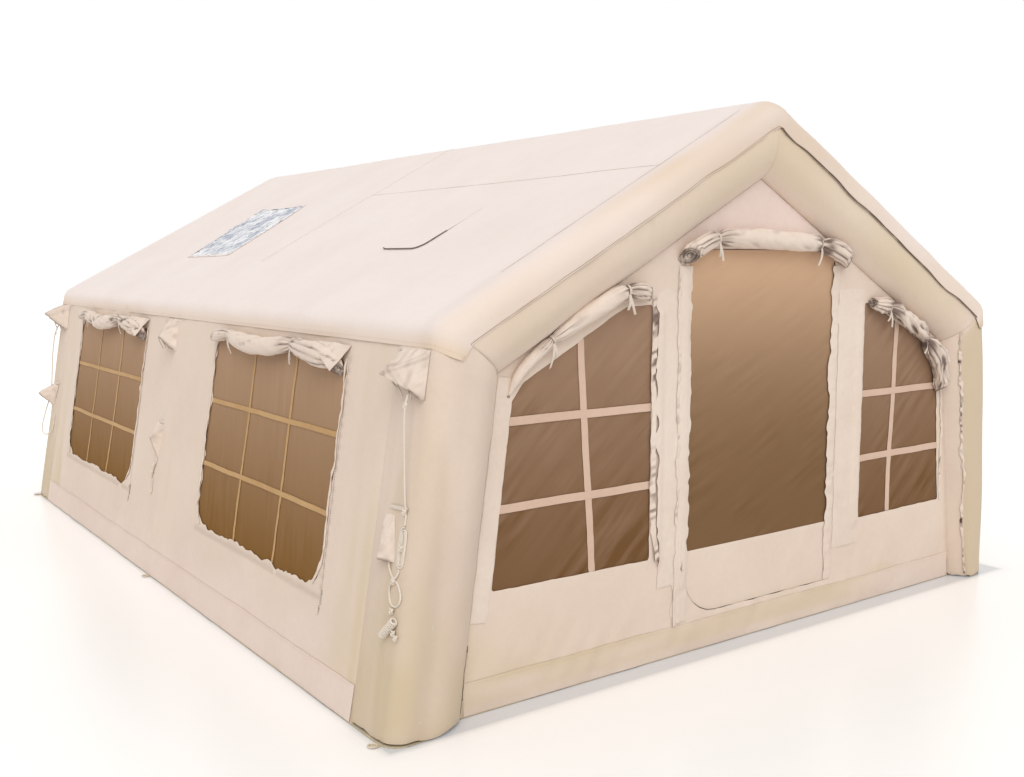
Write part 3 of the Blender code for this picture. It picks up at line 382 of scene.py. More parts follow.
def trim(at, path, width, lift, seed, wander=0.006, puff=0.004, spacing=0.008, gather=0.0, dark=0.0):
    """A sewn edging whose sides wander and pucker; gather is how far its shirring stands up."""
    def tight(run, share):
        return noise(run / 0.016 + 0.5 * share, 0.7 * share, seed + 4)

    def ruffle(run, share):
        drift = noise(run / 0.07, 0, seed) + 0.6 * noise(run / 0.025, share, seed + 1)
        high = puff * (0.5 + 0.5 * noise(run / 0.04, share, seed + 2)) * (1 - 2 * abs(share))
        return wander * (0.35 + abs(share)) * drift, high + gather * (0.5 + 0.5 * tight(run, share))

    # Painted shade: dark dashes in the gaps between the gathers, in clusters along the edging
    def shade(run, share):
        place = ease(noise(run / 0.11, 0, seed + 7), -0.35, 0.35)
        return np.clip(dark * (0.15 + 0.85 * place) * (0.25 - 1.8 * tight(run, share)), 0, 1)
    return tape(at, path, width, lift, spacing, max(5, round(width / 0.010)), ruffle, painted_shade=shade)


def around(sides):
    return np.arange(sides) * math.tau / sides


def pipe(path, normal, radius, share, ends=True):
    """A round skin along a path; share scales the radius at each ring and each place round it."""
    rings, sides = share.shape
    a, last = around(sides), (rings - 1) * sides
    other = np.cross(heading(path), normal)
    ring = normal[:, None, :] * np.cos(a)[None, :, None] + other[:, None, :] * np.sin(a)[None, :, None]
    points = (path[:, None, :] + ring * (radius * share)[:, :, None]).reshape(-1, 3)
    faces = grid_faces(rings, sides, loop=True, flip=True)
    if ends:
        faces += [list(range(sides)), [last + sides - 1 - j for j in range(sides)]]
    return points, faces, np.stack([np.repeat(run_of(path), sides), np.tile(a * radius, rings)], 1)


# Materials

def colour(code):
    channels = [int(code[i:i + 2], 16) / 255 for i in (1, 3, 5)]
    return (*[c / 12.92 if c <= 0.04045 else ((c + 0.055) / 1.055) ** 2.4 for c in channels], 1)


def give(node, **values):
    """Sets a node's settings, in small letters, and its inputs, by name or number, or links another node."""
    for name, value in values.items():
        if name[0] == "i" and name[1:].isdigit():
            socket = node.inputs[int(name[1:])]
        elif name[0].isupper():
            socket = node.inputs[name.replace("_", " ")]
        else:
            setattr(node, name, value)
            continue
        if isinstance(value, bpy.types.Node):
            value = value.outputs.get("Fac") or next(output for output in value.outputs if output.enabled)
        if isinstance(value, str):
            value = colour(value)
        if isinstance(value, bpy.types.NodeSocket):
            node.id_data.links.new(value, socket)
        else:
            socket.default_value = value
    return node


def add_node(tree, kind, **values):
    """Adds a node with its settings and links; a shader's kind goes without its prefix."""
    return give(tree.nodes.new(kind if "Node" in kind else "ShaderNode" + kind), **values)


def new_material(name):
    material = bpy.data.materials.new(name)
    material.use_nodes = True
    return material, material.node_tree.nodes["Principled BSDF"], partial(add_node, material.node_tree)


def threads(add, flat, spacing, joined, **more):
    """Warp and weft whose threads stand at this distance."""
    warp, weft = (add("TexWave", bands_direction=way, Vector=flat, Scale=math.tau / (20 * spacing), **more)
                  for way in "XY")
    return add("Math", operation=joined, i0=warp, i1=weft)


def woven(name, base, shade, thread, roughness, bump, stain_and_shade_colour="#D9C8A8", dark="#A98B70", crinkle=0.06):
    """A woven cloth: its two thread directions, uneven dye, khaki patches mixed with painted light and shade,
    and painted shade in its folds and creases.
    """
    material, shader, add = new_material(name)
    place = add("TexCoord").outputs["Object"]
    weave = threads(add, add("UVMap", uv_map="cloth"), thread, "ADD", Distortion=0.6, Detail=1.0)
    cloud = add("TexNoise", Vector=place, Scale=2.4, Detail=4.0, Roughness=0.6)
    fleck = add("TexNoise", Vector=place, Scale=45.0, Detail=3.0)
    spots = add("Math", operation="MULTIPLY_ADD", i0=fleck, i1=0.35, i2=cloud)
    share = add("MapRange", Value=spots, i1=0.42, i2=0.92)
    tint = add("Mix", data_type="RGBA", i0=share, i6=base, i7=shade)
    # The first attribute mixes real khaki patches with painted light (below zero the cloth turns paler) and
    # painted shade; the second is painted shade in creases, hollows and undersides
    for mark, code, clamp in (("khaki_and_painted_light", stain_and_shade_colour, False), ("painted_shade", dark, True)):
        amount = add("Attribute", attribute_name=mark)
        tint = add("Mix", data_type="RGBA", clamp_factor=clamp, i0=amount, i6=tint, i7=code)
    soft = add("TexNoise", Vector=place, Scale=14.0, Detail=5.0, Roughness=0.55)
    low = add("Bump", Strength=crinkle, Distance=0.02, Height=soft)
    high = add("Bump", Strength=bump, Distance=0.0006, Height=weave, Normal=low)
    rough = add("MapRange", Value=weave, i1=0.0, i2=2.0, i3=roughness - 0.05, i4=roughness + 0.05)
    give(shader, Base_Color=tint, Normal=high, Roughness=rough, Sheen_Weight=0.15, Sheen_Roughness=0.5,
         Specular_IOR_Level=0.25)
    return material


def net(name, high_colour, low_colour, low_z, high_z, alpha, streak, power=1.0, depth=0.2):
    """Fine insect net: brown threads that let some light through; its colour is painted light, paler at the top
    where the lit roof shows through and darker towards the ground.
    """
    material, shader, add = new_material(name)
    height = add("SeparateXYZ", Vector=add("TexCoord").outputs["Object"]).outputs["Z"]
    rise = add("MapRange", Value=height, i1=low_z, i2=high_z)
    flat = add("UVMap", uv_map="cloth")
    slant = add("Mapping", vector_type="TEXTURE", Vector=flat, Rotation=(0, 0, math.radians(streak)),
                Scale=(0.38, 0.045, 1))
    pulled = add("TexNoise", Vector=slant, Scale=1.0, Detail=2.0, Roughness=0.5)
    calm = add("TexNoise", Vector=flat, Scale=3.2, Detail=1.0)
    strong = add("MapRange", Value=calm, i1=0.42, i2=0.62, i3=0.15, i4=1.0)
    streaks = add("MapRange", Value=pulled, i1=0.35, i2=0.65, i3=-depth, i4=depth)
    shadow = add("Math", operation="MULTIPLY", i0=streaks, i1=strong)
    curve = add("Math", operation="POWER", i0=rise, i1=power)
    level = add("Math", operation="ADD", i0=curve, i1=shadow)
    shade = add("Mix", data_type="RGBA", clamp_factor=False, i0=level, i6=low_colour, i7=high_colour)
    # The real threads stand 1 mm apart; they are drawn 3 mm apart so that they show close by
    raised = add("Bump", Strength=0.25, Distance=0.0004, Height=threads(add, flat, 0.003, "MAXIMUM"))
    folds = add("Bump", Strength=0.25, Distance=0.01, Height=pulled, Normal=raised)
    give(shader, Base_Color=shade, Normal=folds, Roughness=0.75, Specular_IOR_Level=0.2, Alpha=alpha)
    return material


def plain(name, base, shade, size, roughness, metallic=0.0, bump=0.1, coat=0.0):
    """A solid material with fine unevenness: moulded plastic, metal, film or thread."""
    material, shader, add = new_material(name)
    grain = add("TexNoise", Vector=add("TexCoord").outputs["Object"], Scale=1 / size, Detail=5.0)
    tint = add("Mix", data_type="RGBA", i0=grain, i6=base, i7=shade)
    uneven = add("Bump", Strength=bump, Distance=size / 4, Height=grain)
    rough = add("MapRange", Value=grain, i1=0.3, i2=0.7, i3=roughness - 0.06, i4=roughness + 0.06)
    give(shader, Base_Color=tint, Normal=uneven, Roughness=rough, Metallic=metallic, Coat_Weight=coat)
    return material


def film(name, glint, painted_crease_shade):
    """Thin clear film: creases run along it, with a painted highlight on one flank and painted shade on the
    other.
    """
    material, shader, add = new_material(name)
    flat = add("UVMap", uv_map="cloth")
    slant = add("Mapping", vector_type="TEXTURE", Vector=flat, Rotation=(0, 0, math.radians(-62)),
                Scale=(0.11, 0.022, 1))
    creases = add("TexNoise", Vector=slant, Scale=1.0, Detail=6.0, Roughness=0.68)
    blot = add("TexNoise", Vector=flat, Scale=7.0, Detail=2.0)
    both = add("Math", operation="MULTIPLY_ADD", i0=blot, i1=0.45, i2=creases)
    share = add("MapRange", Value=both, i1=0.64, i2=0.80)
    tint = add("Mix", data_type="RGBA", i0=share, i6=glint, i7=painted_crease_shade)
    uneven = add("Bump", Strength=0.5, Distance=0.004, Height=creases)
    give(shader, Base_Color=tint, Normal=uneven, Roughness=0.22, Coat_Weight=0.5)
    return material


# Polycotton canvas, woven and proofed: matt, warm, with a thread grid that shows only close by.
# Its threads are 0.5 mm apart and are drawn 4 mm apart
CANVAS = woven("polycotton_canvas", "#E9D8C8", "#E2CFBF", 0.004, 0.85, 0.25, dark="#8A6F5C")
# The same cloth in the roof with a pale coating: brighter, a little smoother
ROOF = woven("coated_roof_canvas", "#F4EAE6", "#EFE3DE", 0.004, 0.75, 0.15, stain_and_shade_colour="#E3CDB4", dark="#8A6F5C")
# Cover and flap cloth, the lightest canvas, soft and crumpled
COVER = woven("cover_canvas", "#EDDFD2", "#E3D1C2", 0.004, 0.85, 0.25, dark="#5C423B", crinkle=0.25)
# Welded PE tub cloth: khaki, close weave, slightly slick
SKIRT = woven("tub_floor_cloth", "#D9CAAC", "#CFC0A0", 0.006, 0.6, 0.3, stain_and_shade_colour="#D2C29E")
# Knitted polyester net: brown and sheer, painted paler towards the light under the roof, a painted light
SIDE_NET = net("side_insect_net", "#C09F82", "#89622D", 0.40, 1.27, 0.86, 80, depth=0.06)
FRONT_NET = net("front_insect_net", "#AE8E76", "#826142", 0.43, 1.45, 0.86, 42, 1.3, 0.22)
DOOR_NET = net("door_insect_net", "#EAC4A2", "#876747", 0.43, 1.66, 0.80, 25, 2.6, 0.04)
REAR_NET = net("rear_insect_net", "#8C7660", "#7F5F40", 0.43, 1.62, 0.97, 0, depth=0.05)
# Grosgrain tape, ribbed across: golden on the long walls, pinkish cream in the front
GOLD_TAPE = woven("golden_grosgrain_tape", "#CDA671", "#BD935C", 0.003, 0.7, 0.5, crinkle=0.1)
CREAM_TAPE = woven("cream_grosgrain_tape", "#E0C4B0", "#D6B7A2", 0.003, 0.7, 0.5, crinkle=0.1)
# Polyester webbing of the ties and loops: pale, with a coarse weave
WEBBING = woven("pale_webbing", "#EADFD2", "#DDCFC0", 0.003, 0.75, 0.6, crinkle=0.1)
# Spun polyester thread and laid cord, matt with a soft sheen
THREAD = plain("polyester_thread", "#DCC8B6", "#D0BBA8", 0.002, 0.7)
ROPE = plain("laid_polyester_cord", "#EEE6DA", "#D9CDBD", 0.004, 0.8, bump=0.4)
# Dark and brown thread draw the bound edges, the seams and painted shade lines under the fly's edge and in the
# knee creases, grey coil the zips' teeth
DARK_THREAD = plain("dark_zip_thread", "#6A5348", "#4E3C36", 0.003, 0.6)
BROWN_THREAD = plain("brown_seam_thread", "#C4AB95", "#B4977F", 0.002, 0.7)
ZIP_THREAD = plain("grey_zip_coil", "#8D7A73", "#6F5D58", 0.004, 0.6)
# TPU air tube in its woven jacket: smooth, faint satin
TUBE = plain("tpu_air_tube", "#D9D3C9", "#CFC7BB", 0.05, 0.42, bump=0.05, coat=0.1)
# Clear PVC film over the dark room: painted white glints and painted blue-grey shade in the hollows between
# sharp creases
FILM = film("crinkled_pvc_film", "#F8F9FA", "#7C88A4")
# Silicone coated glass cloth of the stove jack, grey and close woven
HEATPROOF = woven("silicone_glass_cloth", "#BDB7AC", "#ADA699", 0.003, 0.6, 0.5)
# Nickel plated zinc of the sliders, cast and tumbled: warm, softly bright
NICKEL = plain("nickel_plated_zinc", "#C8BFB2", "#B5AA9C", 0.002, 0.32, metallic=1.0, bump=0.05)
# Moulded ABS of the valve: near black, faintly grained
ABS = plain("moulded_dark_abs", "#3B3B3C", "#323233", 0.0015, 0.45, bump=0.15)


# Camera, floor and light

def studio_ray(add):
    """1 for the rays that see the studio itself: from the camera, off gloss or through glass."""
    ray = add("LightPath")
    seen = ray.outputs["Is Camera Ray"]
    for kind in ("Is Glossy Ray", "Is Transmission Ray"):
        seen = add("Math", operation="MAXIMUM", i0=seen, i1=ray.outputs[kind])
    return seen


def make_camera():
    data = bpy.data.cameras.new("camera")
    data.lens, data.sensor_width, data.clip_end = 37.73, 36.0, 200.0
    turn, down = math.radians(-35.958), math.radians(6.674)
    back = Vector((math.sin(turn) * math.cos(down), -math.cos(turn) * math.cos(down), math.sin(down)))
    right = (-back).cross(Vector((0, 0, 1))).normalized()
    axes = Matrix((right, back.cross(right), back)).transposed().to_4x4()
    camera = link_object("camera", data)
    camera.matrix_world = Matrix.Translation((-3.5504, -5.5575, 1.6326)) @ axes
    bpy.context.scene.camera = camera


def make_studio():
    # Seamless white studio floor, satin: it goes to white, keeps the shadow and a faint mirror image; close
    # round the tent's footprint its colour and its glow are painted darker, a painted contact shadow
    material, shader, add = new_material("satin_studio_floor")
    place = add("TexCoord").outputs["Object"]
    grain = add("TexNoise", Vector=place, Scale=0.7, Detail=2.0)
    rough = add("MapRange", Value=grain, i3=0.26, i4=0.34)
    away = place
    for step, other in (("ABSOLUTE", (0, 0, 0)), ("SUBTRACT", (BASE_HALF_WIDTH, HALF_LENGTH, 0)),
                        ("MAXIMUM", (0, 0, 0)), ("LENGTH", (0, 0, 0))):
        away = add("VectorMath", operation=step, i0=away, i1=other)
    # Painted contact shadow: the colour grows darker the nearer it lies to the tent's footprint
    shade = add("ValToRGB", Fac=add("MapRange", Value=away, i1=0.0, i2=3.0))
    stops = shade.color_ramp.elements
    for stop, code in ((0.004, "#D9D8D7"), (0.012, "#E9E8E7"), (0.03, "#EDECEB"), (0.3, "#F1F2F1")):
        stops.new(stop).color = colour(code)
    stops[0].color, stops[-1].color = colour("#C4C4C6"), colour("#F8F8F8")
    give(shader, Base_Color=shade, Roughness=rough, Specular_IOR_Level=0.5)
    seen = add("Math", operation="MULTIPLY", i0=studio_ray(add), i1=0.22)
    glow = add("Emission", Color=shade, Strength=seen)
    give(material.node_tree.nodes["Material Output"], Surface=add("AddShader", i0=shader, i1=glow))
    mesh = bpy.data.meshes.new("studio_floor")
    mesh.from_pydata([(x, y, -0.0005) for x, y in box_outline(60, -60, 60)], [], [(0, 1, 2, 3)])
    mesh.materials.append(material)
    link_object("studio_floor", mesh)

    world = bpy.context.scene.world = bpy.data.worlds.new("studio")
    world.use_nodes = True
    world.node_tree.nodes.clear()
    add = partial(add_node, world.node_tree)
    seen = studio_ray(add)
    soft = add("Background", Color="#FFFBF8", Strength=0.66)
    white = add("Background", Color=(1, 1, 1, 1), Strength=1.0)
    add("OutputWorld", Surface=add("MixShader", i0=seen, i1=soft, i2=white))

    lamp = bpy.data.lights.new("key_light", "SUN")
    lamp.energy, lamp.angle, lamp.color = 1.33, math.radians(50), (1.0, 0.985, 0.965)
    key = link_object("key_light", lamp)
    key.rotation_mode = "QUATERNION"
    key.rotation_quaternion = Vector((-0.52, -0.80, 1.0)).to_track_quat("Z", "Y")
    bpy.context.scene.view_settings.view_transform = "Standard"


# Surfaces of the shell

def wall_base(side):
    return lambda u, v: np.stack([side * (BASE_HALF_WIDTH - v * math.sin(LEAN)), u, v * math.cos(LEAN)], 1)


def gable_base(end):
    return lambda u, v: np.stack([u, np.full(len(u), end * GABLE_Y), v], 1)


def profile(points):
    """Depth and y along a profile, by the distance along it."""
    line = np.array(points, float)
    return run_of(line), line[:, 0], line[:, 1]


def corner_points(radius, steps=10):
    angles = [math.pi / 2 * (1 - i / steps) for i in range(steps + 1)]
    return [(SLEEVE_CORNER - radius * math.cos(a), HALF_LENGTH - SLEEVE_CORNER + radius * math.sin(a))
            for a in angles]


SLEEVE_FACE = dense_line([(0.295, 2.450), (0.285, 2.468), (0.262, 2.494), (0.236, 2.515), (0.205, 2.531),
                          (0.170, 2.539), (0.125, 2.5405), (SLEEVE_CORNER, HALF_LENGTH)], 0.012).tolist()
SLEEVE_PROFILE = profile(SLEEVE_FACE + corner_points(SLEEVE_CORNER)[1:] + [(0, HALF_LENGTH - SLEEVE_RETURN)])
SLEEVE_ACROSS = SLEEVE_PROFILE[0][-1]
FLY_PROFILE = profile([(FLAP_WIDTH, HALF_LENGTH + FLY_OUTER)] + corner_points(SLEEVE_CORNER + FLY_OUTER)
                      + [(-FLY_OUTER, 0.0)])
FLY_CORNER, FLY_ACROSS = FLY_PROFILE[0][-2:]


def slack_leg(t):
    return SLACK * ease(t, WALL_START, WALL_START + 1.3 * SLEEVE_RUN)


def sleeve_base(end):
    def base(p, t):
        run, ks, ys = SLEEVE_PROFILE
        k, y = np.interp(p, run, ks), np.interp(p, run, ys)
        if end < 0:
            k = k + slack_leg(t) * ease(SLEEVE_WIDTH - k, 0.0, 0.2) * ease(SLEEVE_ACROSS - p, 0, 0.2)
        wider = (SLEEVE_FOOT_WIDTH - SLEEVE_CORNER) / (SLEEVE_WIDTH - SLEEVE_CORNER)
        low_k = np.where(k > SLEEVE_CORNER, SLEEVE_CORNER + (k - SLEEVE_CORNER) * wider, k)
        x, z = frame_point(k, t, FLOOR_TOP, low_k, SLEEVE_RUN)
        return np.stack([x, end * y, z], 1)
    return base


def fly_base(p, t):
    """p runs along the ridge from the middle, to the rear where positive."""
    run, ks, ys = FLY_PROFILE
    back = FLY_ACROSS - np.abs(p)
    k, y = np.interp(back, run, ks), np.interp(back, run, ys)
    end = ease(FLY_CORNER - back, 0, FLY_CORNER)
    wander = np.where(t > 0, 0.011, 0.004) * noise(t / 0.17, 0, 77) * (p < 0)
    k = k + wander * end * ease(WALL_START - np.abs(t), 0, 0.2) * ease(np.abs(t), 0, 0.2)
    low = HEM_HEIGHT + (FLAP_CORNER_HEIGHT - HEM_HEIGHT) * end
    low_k = k + (FLAP_END_WIDTH - FLAP_WIDTH) * ease(k, SLEEVE_CORNER, FLAP_WIDTH)
    x, z = frame_point(k, t, low, low_k, FLY_RUN)
    return np.stack([x, np.where(p < 0, -y, y), z], 1)


def door_outline():
    corners = [(DOOR_RIGHT, DOOR_SILL), (DOOR_RIGHT, DOOR_HEAD), (DOOR_LEFT, DOOR_HEAD), (DOOR_LEFT, DOOR_SILL)]
    return rounded(corners, (MIN_BEND, MIN_BEND, MIN_BEND, DOOR_CORNER))


def side_outline(end):
    return rounded(box_outline(SIDE_HALF, SIDE_SILL, SIDE_HEAD, end * SIDE_CENTRE), (0.13, 0.13, 0.05, 0.05))


GABLE_HOLES = {-1: [door_outline(), LEFT_WINDOW, RIGHT_WINDOW], 1: [box_outline(0.45, 0.60, 1.45)]}


def gable_outline():
    t = spaced([[-FOOT], [FOOT]], 0.02)[:, 0]
    k = np.full(len(t), SLEEVE_WIDTH - 0.004)
    return np.stack(frame_point(k, t, FLOOR_TOP, SLEEVE_FOOT_WIDTH - 0.004, SLEEVE_RUN), 1)


GABLE_OUTLINE = gable_outline()


def seam_distance(u, v):
    return off_line(u, v, GABLE_OUTLINE[::6])


def wavy(outline, seed, size, step=0.012):
    """A hand-sewn opening: its edge wanders in and out between the stitches."""
    line = spaced(closed(outline), step)[:-1]
    edge = unit(inset(line, 1.0) - line)
    run = np.arange(len(line)) * step
    turn = np.minimum(run, run[-1] - run)
    wander = noise(run / 0.055, 0, seed) + 0.5 * noise(run / 0.02, 0, seed + 1)
    return line + edge * (size * wander * ease(turn, 0, 0.05))[:, None]


def side_rim(u, v):
    """How far a place of a long wall lies outside the nearer window."""
    return np.maximum(np.abs(np.abs(u) - SIDE_CENTRE) - SIDE_HALF, np.maximum(SIDE_SILL - v, v - SIDE_HEAD))


def side_relief(side):
    def relief(u, v):
        broad = 0.0045 * noise(u / 0.55, v / 0.8, 3 + side) + 0.0015 * noise(u / 0.16, v / 0.3, 5 + side)
        upright = 0.0025 * noise(u / 0.06, v / 0.9, 7 + side)
        upright = upright * np.maximum(bump_at(np.abs(u), 2.12, 0.10), bump_at(u, 0, 0.22))
        arch = 0.005 * bump_at(u, 0, 0.12)
        pucker = 0.0030 * noise(u / 0.03, v / 0.03, 9 + side) * np.exp(-np.abs(side_rim(u, v)) / 0.03)
        pull = 0.004 * noise((u + v) / 0.07, (u - v) / 0.5, 12 + side)
        pull = pull * ease(0.42 - v, 0.0, 0.25) * ease(v, 0.05, 0.2)
        fade = ease(2.25 - np.abs(u), 0, 0.05) * ease(v, 0, 0.04) * ease(1.38 - v, 0, 0.08)
        return (broad + upright + arch + pucker + pull) * fade - 0.0028 * ease(np.abs(u), 2.244, 2.262)
    return relief


def side_marks(u, v):
    near = np.abs(u) - 2.02 + 0.05 * noise(v / 0.25, u / 9, 21)
    patch = ease(near, 0, 0.05) * (0.45 + 0.4 * noise(u / 0.05, v / 0.5, 22))
    patch = patch * (0.3 + 0.7 * ease(0.95 - v, 0, 0.5))
    low = ease(0.34 - v + 0.10 * noise(u / 0.35, v, 23), 0, 0.2) * (0.15 * noise(u / 0.3, v / 0.3, 24) - 0.25)
    foot = 0.6 * ease(0.46 - v, 0, 0.3) * ease(np.abs(u), 1.75, 2.2)
    low = low + foot * (0.7 + 0.3 * noise(u / 0.1, v / 0.2, 26))
    mid = 0.35 * bump_at(np.abs(u - 0.03), 0.12, 0.02) * ease(noise(u / 9, v / 0.4, 25), -0.4, 0.3)
    return np.clip(patch + low + mid, -0.6, 0.85), 0.25 * bump_at(side_rim(u, v), 0.023, 0.003)


def gable_relief(end):
    def relief(u, v):
        rim = np.minimum.reduce([off_line(u, v, closed(hole)) for hole in GABLE_HOLES[end]])
        broad = 0.0035 * noise(u / 0.5, v / 0.6, 31 + end) + 0.0012 * noise(u / 0.14, v / 0.3, 33 + end)
        pucker = 0.0022 * noise(u / 0.035, v / 0.035, 35 + end) * np.exp(-rim / 0.03)
        slant = 0.0035 * noise((u - 0.6 * v) / 0.06, (u + v) / 0.5, 37 + end) * ease(0.36 - v, 0, 0.2)
        high = (broad + pucker + slant) * ease(seam_distance(u, v), 0, 0.06) * ease(v, 0, 0.04)
        if end < 0:
            # Nothing stands up under the path of a window's slider
            for line in WINDOW_ZIP_LINES:
                high -= np.maximum(high, 0) * ease(0.05 - abs(u - line), 0, 0.03)
        return high
    return relief


def gable_marks(u, v):
    low = ease(0.16 - v + 0.05 * noise(u / 0.25, v, 41), 0, 0.08) * (0.3 + 0.3 * noise(u / 0.2, v / 0.1, 42))
    seam = 0.06 - seam_distance(u, v) + 0.03 * noise(u / 0.1, v / 0.3, 43)
    side = 0.35 * ease(seam, 0, 0.05) * ease(1.1 - v, 0, 0.3)
    foot = 0.6 * ease(0.40 - v, 0, 0.3) * ease(-0.85 - u, 0, 0.5) * (0.6 + 0.4 * noise(u / 0.2, v / 0.1, 44))
    # Painted light: the cloth is painted paler near the top, against the shadow that the sleeve casts there, and
    # a little paler low down
    painted_light = 0.45 * ease(v, 1.60, 1.78) + 0.06 * ease(0.75 - v, 0, 0.3)
    return np.clip(low + side + foot - painted_light, -0.9, 0.7), 0.0


def column_fold(p, t):
    """The loose fold down the left columns: a step that dies away towards the wall."""
    down = -WALL_START - t
    line = p - 0.25 + 0.05 * ease(down, 0.2, 1.3)
    return ease(line, -0.014, 0.014) * ease(0.11 - line, 0, 0.09) * ease(down, 0.32, 0.42)


KNEE_START = (0.0, WALL_START - 0.05)


def sleeve_relief(end):
    def relief(p, t):
        down = np.abs(t) - WALL_START
        broad = 0.003 * noise(p / 0.18, t / 0.35, 51 + end) + 0.0016 * noise(p / 0.05, t / 0.45, 53 + end)
        bunch = 0.004 * noise(t / 0.05, p / 0.5, 55 + end) * bump_at(np.abs(t), WALL_START - 0.02, 0.12)
        apex = 0.003 * noise(t / 0.03, p / 0.6, 57) * bump_at(t, 0.0, 0.16)
        dent = -0.004 * bump_at(off_line(p, np.abs(t), [KNEE_START, (0.26, WALL_START - 0.01)]), 0, 0.012)
        upright = 0.004 * noise(p / 0.035, t / 0.8, 59 + end) * ease(down, 0.1, 0.5) * ease(p, 0.1, 0.25)
        eave = 0.005 * noise(t / 0.03, p / 0.3, 65) * bump_at(t, -0.92, 0.16) * bump_at(p, 0.17, 0.06)
        fade = ease(p, 0, 0.03) * ease(SLEEVE_ACROSS - p, 0, 0.03)
        # Under the fly the sleeve lies close to the tube
        hidden = ease(p, 0.19, 0.27) * ease(HEM - np.abs(t), 0, 0.04)
        low = np.maximum(hidden, 0.25 * ease(p, SLEEVE_ACROSS - 0.012, SLEEVE_ACROSS))
        high = broad + bunch + apex + dent + (upright + eave - 0.003 * column_fold(p, t))
        return high * fade * (1 - hidden) - 0.0035 * low
    return relief


def sleeve_marks(end):
    def marks(p, t):
        down = np.abs(t) - WALL_START
        wander = 0.06 * noise(t / 0.4, p / 9, 61)
        patch = ease(p - 0.22 + wander, 0, 0.06) * ease(0.47 - p + wander, 0, 0.05)
        patch = 0.45 * patch * ease(down, 0.05, 0.5) * (0.5 + 0.5 * noise(p / 0.06, t / 0.5, 62))
        foot = ease(down, 0.75, 1.15) * (0.55 + 0.4 * noise(p / 0.12, t / 0.2, 63)) * np.where(t > 0, 0.2, 1)
        slope = np.where(t > 0, 0.95, 0.55) * ease(-down, 0, 0.3) * ease(p - 0.02, 0, 0.10)
        slope = slope * (0.55 + 0.45 * noise(p / 0.2, t / 0.5, 64))
        # Painted shade: the knee crease and the column fold are painted darker, the legs a little darker, and
        # the right column's outer strip, which turns away from the light, is painted khaki and darker
        leg = 0.06 * ease(down, 0, 0.1) + 0.06 * ease(down, 0.4, 0.9) * (t < 0) + 0.07 * column_fold(p, t)
        turned_away_shade = 0.75 * ease(p, 0.098, 0.108) * (t > 0) * ease(down, -0.02, 0.05) * (end < 0)
        knee = 0.3 * bump_at(off_line(p, np.abs(t), [KNEE_START, (0.22, WALL_START - 0.02)]), 0, 0.01)
        return np.clip(np.maximum(patch + foot + slope, turned_away_shade), 0, 0.9), knee + leg + 0.12 * turned_away_shade
    return marks


def fly_relief(p, t):
    run, end = np.abs(t), FLY_ACROSS - np.abs(p)
    sag = -0.006 * np.sin(np.clip(np.abs(p) / 2.35, 0, 1) * math.pi)
    sag = sag * np.sin(np.clip(run / 1.75, 0, 1) * math.pi)
    broad = 0.0035 * noise(p / 0.7, t / 0.5, 71) + 0.0010 * noise(p / 0.2, t / 0.15, 72)
    eave = 0.0035 * noise(p / 0.09, t / 0.3, 73) * bump_at(run, WALL_START + 0.02, 0.09)
    puff = 0.005 * bump_at(end, 0.06, 0.05) + 0.0025 * noise(t / 0.12, p / 0.1, 74) * ease(0.25 - end, 0, 0.2)
    apex = 0.005 * noise(t / 0.025, p / 0.4, 75) * bump_at(run, 0.05, 0.10) * ease(0.14 - end, 0, 0.12)
    ridge = 0.0015 * noise(p / 0.05, t / 0.2, 76) * bump_at(run, 0, 0.10)
    return sag + broad * ease(end, 0.2, 0.6) + eave + puff + apex + ridge


def fly_marks(p, t):
    run, end = np.abs(t), FLY_ACROSS - np.abs(p)
    # Painted shade: the puffed front band and the fascia are painted khaki where they turn from the light; the
    # second value paints a thin darker crease line along the band and a darker rear edge
    edge = 0.08 * bump_at(end, 0.20, 0.03) * (0.6 + 0.4 * noise(t / 0.2, p, 81)) * (p < 0)
    edge = edge + 0.10 * ease(0.14 - end, 0, 0.06) * (p > 0)
    painted_band_shade = ease(0.21 - end + 0.03 * noise(t / 0.3, 0, 83), 0, 0.09) * (0.5 + 0.35 * ease(1.3 - run, 0, 0.9))
    edge = edge + 0.07 * painted_band_shade * ease(0.9 - run, 0, 0.6) * (p < 0)
    painted_band_shade = painted_band_shade * (0.8 + 0.3 * noise(t / 0.3, p / 0.1, 82))
    painted_fascia_shade = (0.65 + 0.3 * ease(0.3 - end, 0, 0.15)) * ease(run, WALL_START - 0.03, WALL_START + 0.05)
    return np.clip(np.maximum(painted_band_shade * (p < 0), painted_fascia_shade), 0, 0.95), edge


LONG_WALLS = {side: Cloth(wall_base(side), side_relief(side), side) for side in (-1, 1)}
GABLES = {end: Cloth(gable_base(end), gable_relief(end), -end) for end in (-1, 1)}
SLEEVES = {end: Cloth(sleeve_base(end), sleeve_relief(end), end) for end in (-1, 1)}
FLY = Cloth(fly_base, fly_relief, -1)


# Shell

SKYLIGHT = [(along * HALF_LENGTH, down * SLOPE_LENGTH)
            for along, down in ((0.456, 0.727), (0.211, 0.719), (0.28, 0.374), (0.529, 0.384))]
JACK_U, JACK_V, JACK_HALF = -0.547 * HALF_LENGTH, 0.599 * SLOPE_LENGTH, 0.115
SLOPE_START = RIDGE_BEND * math.tan(PITCH) - RIDGE_RUN


def on_fly(outline):
    """(u, v) of the left roof slope as (p, t) of the fly."""
    return [(u / (HALF_LENGTH - SLEEVE_CORNER) * (FLY_ACROSS - FLY_CORNER), -(v - SLOPE_START))
            for u, v in outline]


def jack_box(more_u, more_v):
    return box_outline(JACK_HALF + more_u, JACK_V - JACK_HALF - more_v, JACK_V + JACK_HALF + more_v, JACK_U)


def area_of(outline):
    return abs(signed_area(outline))


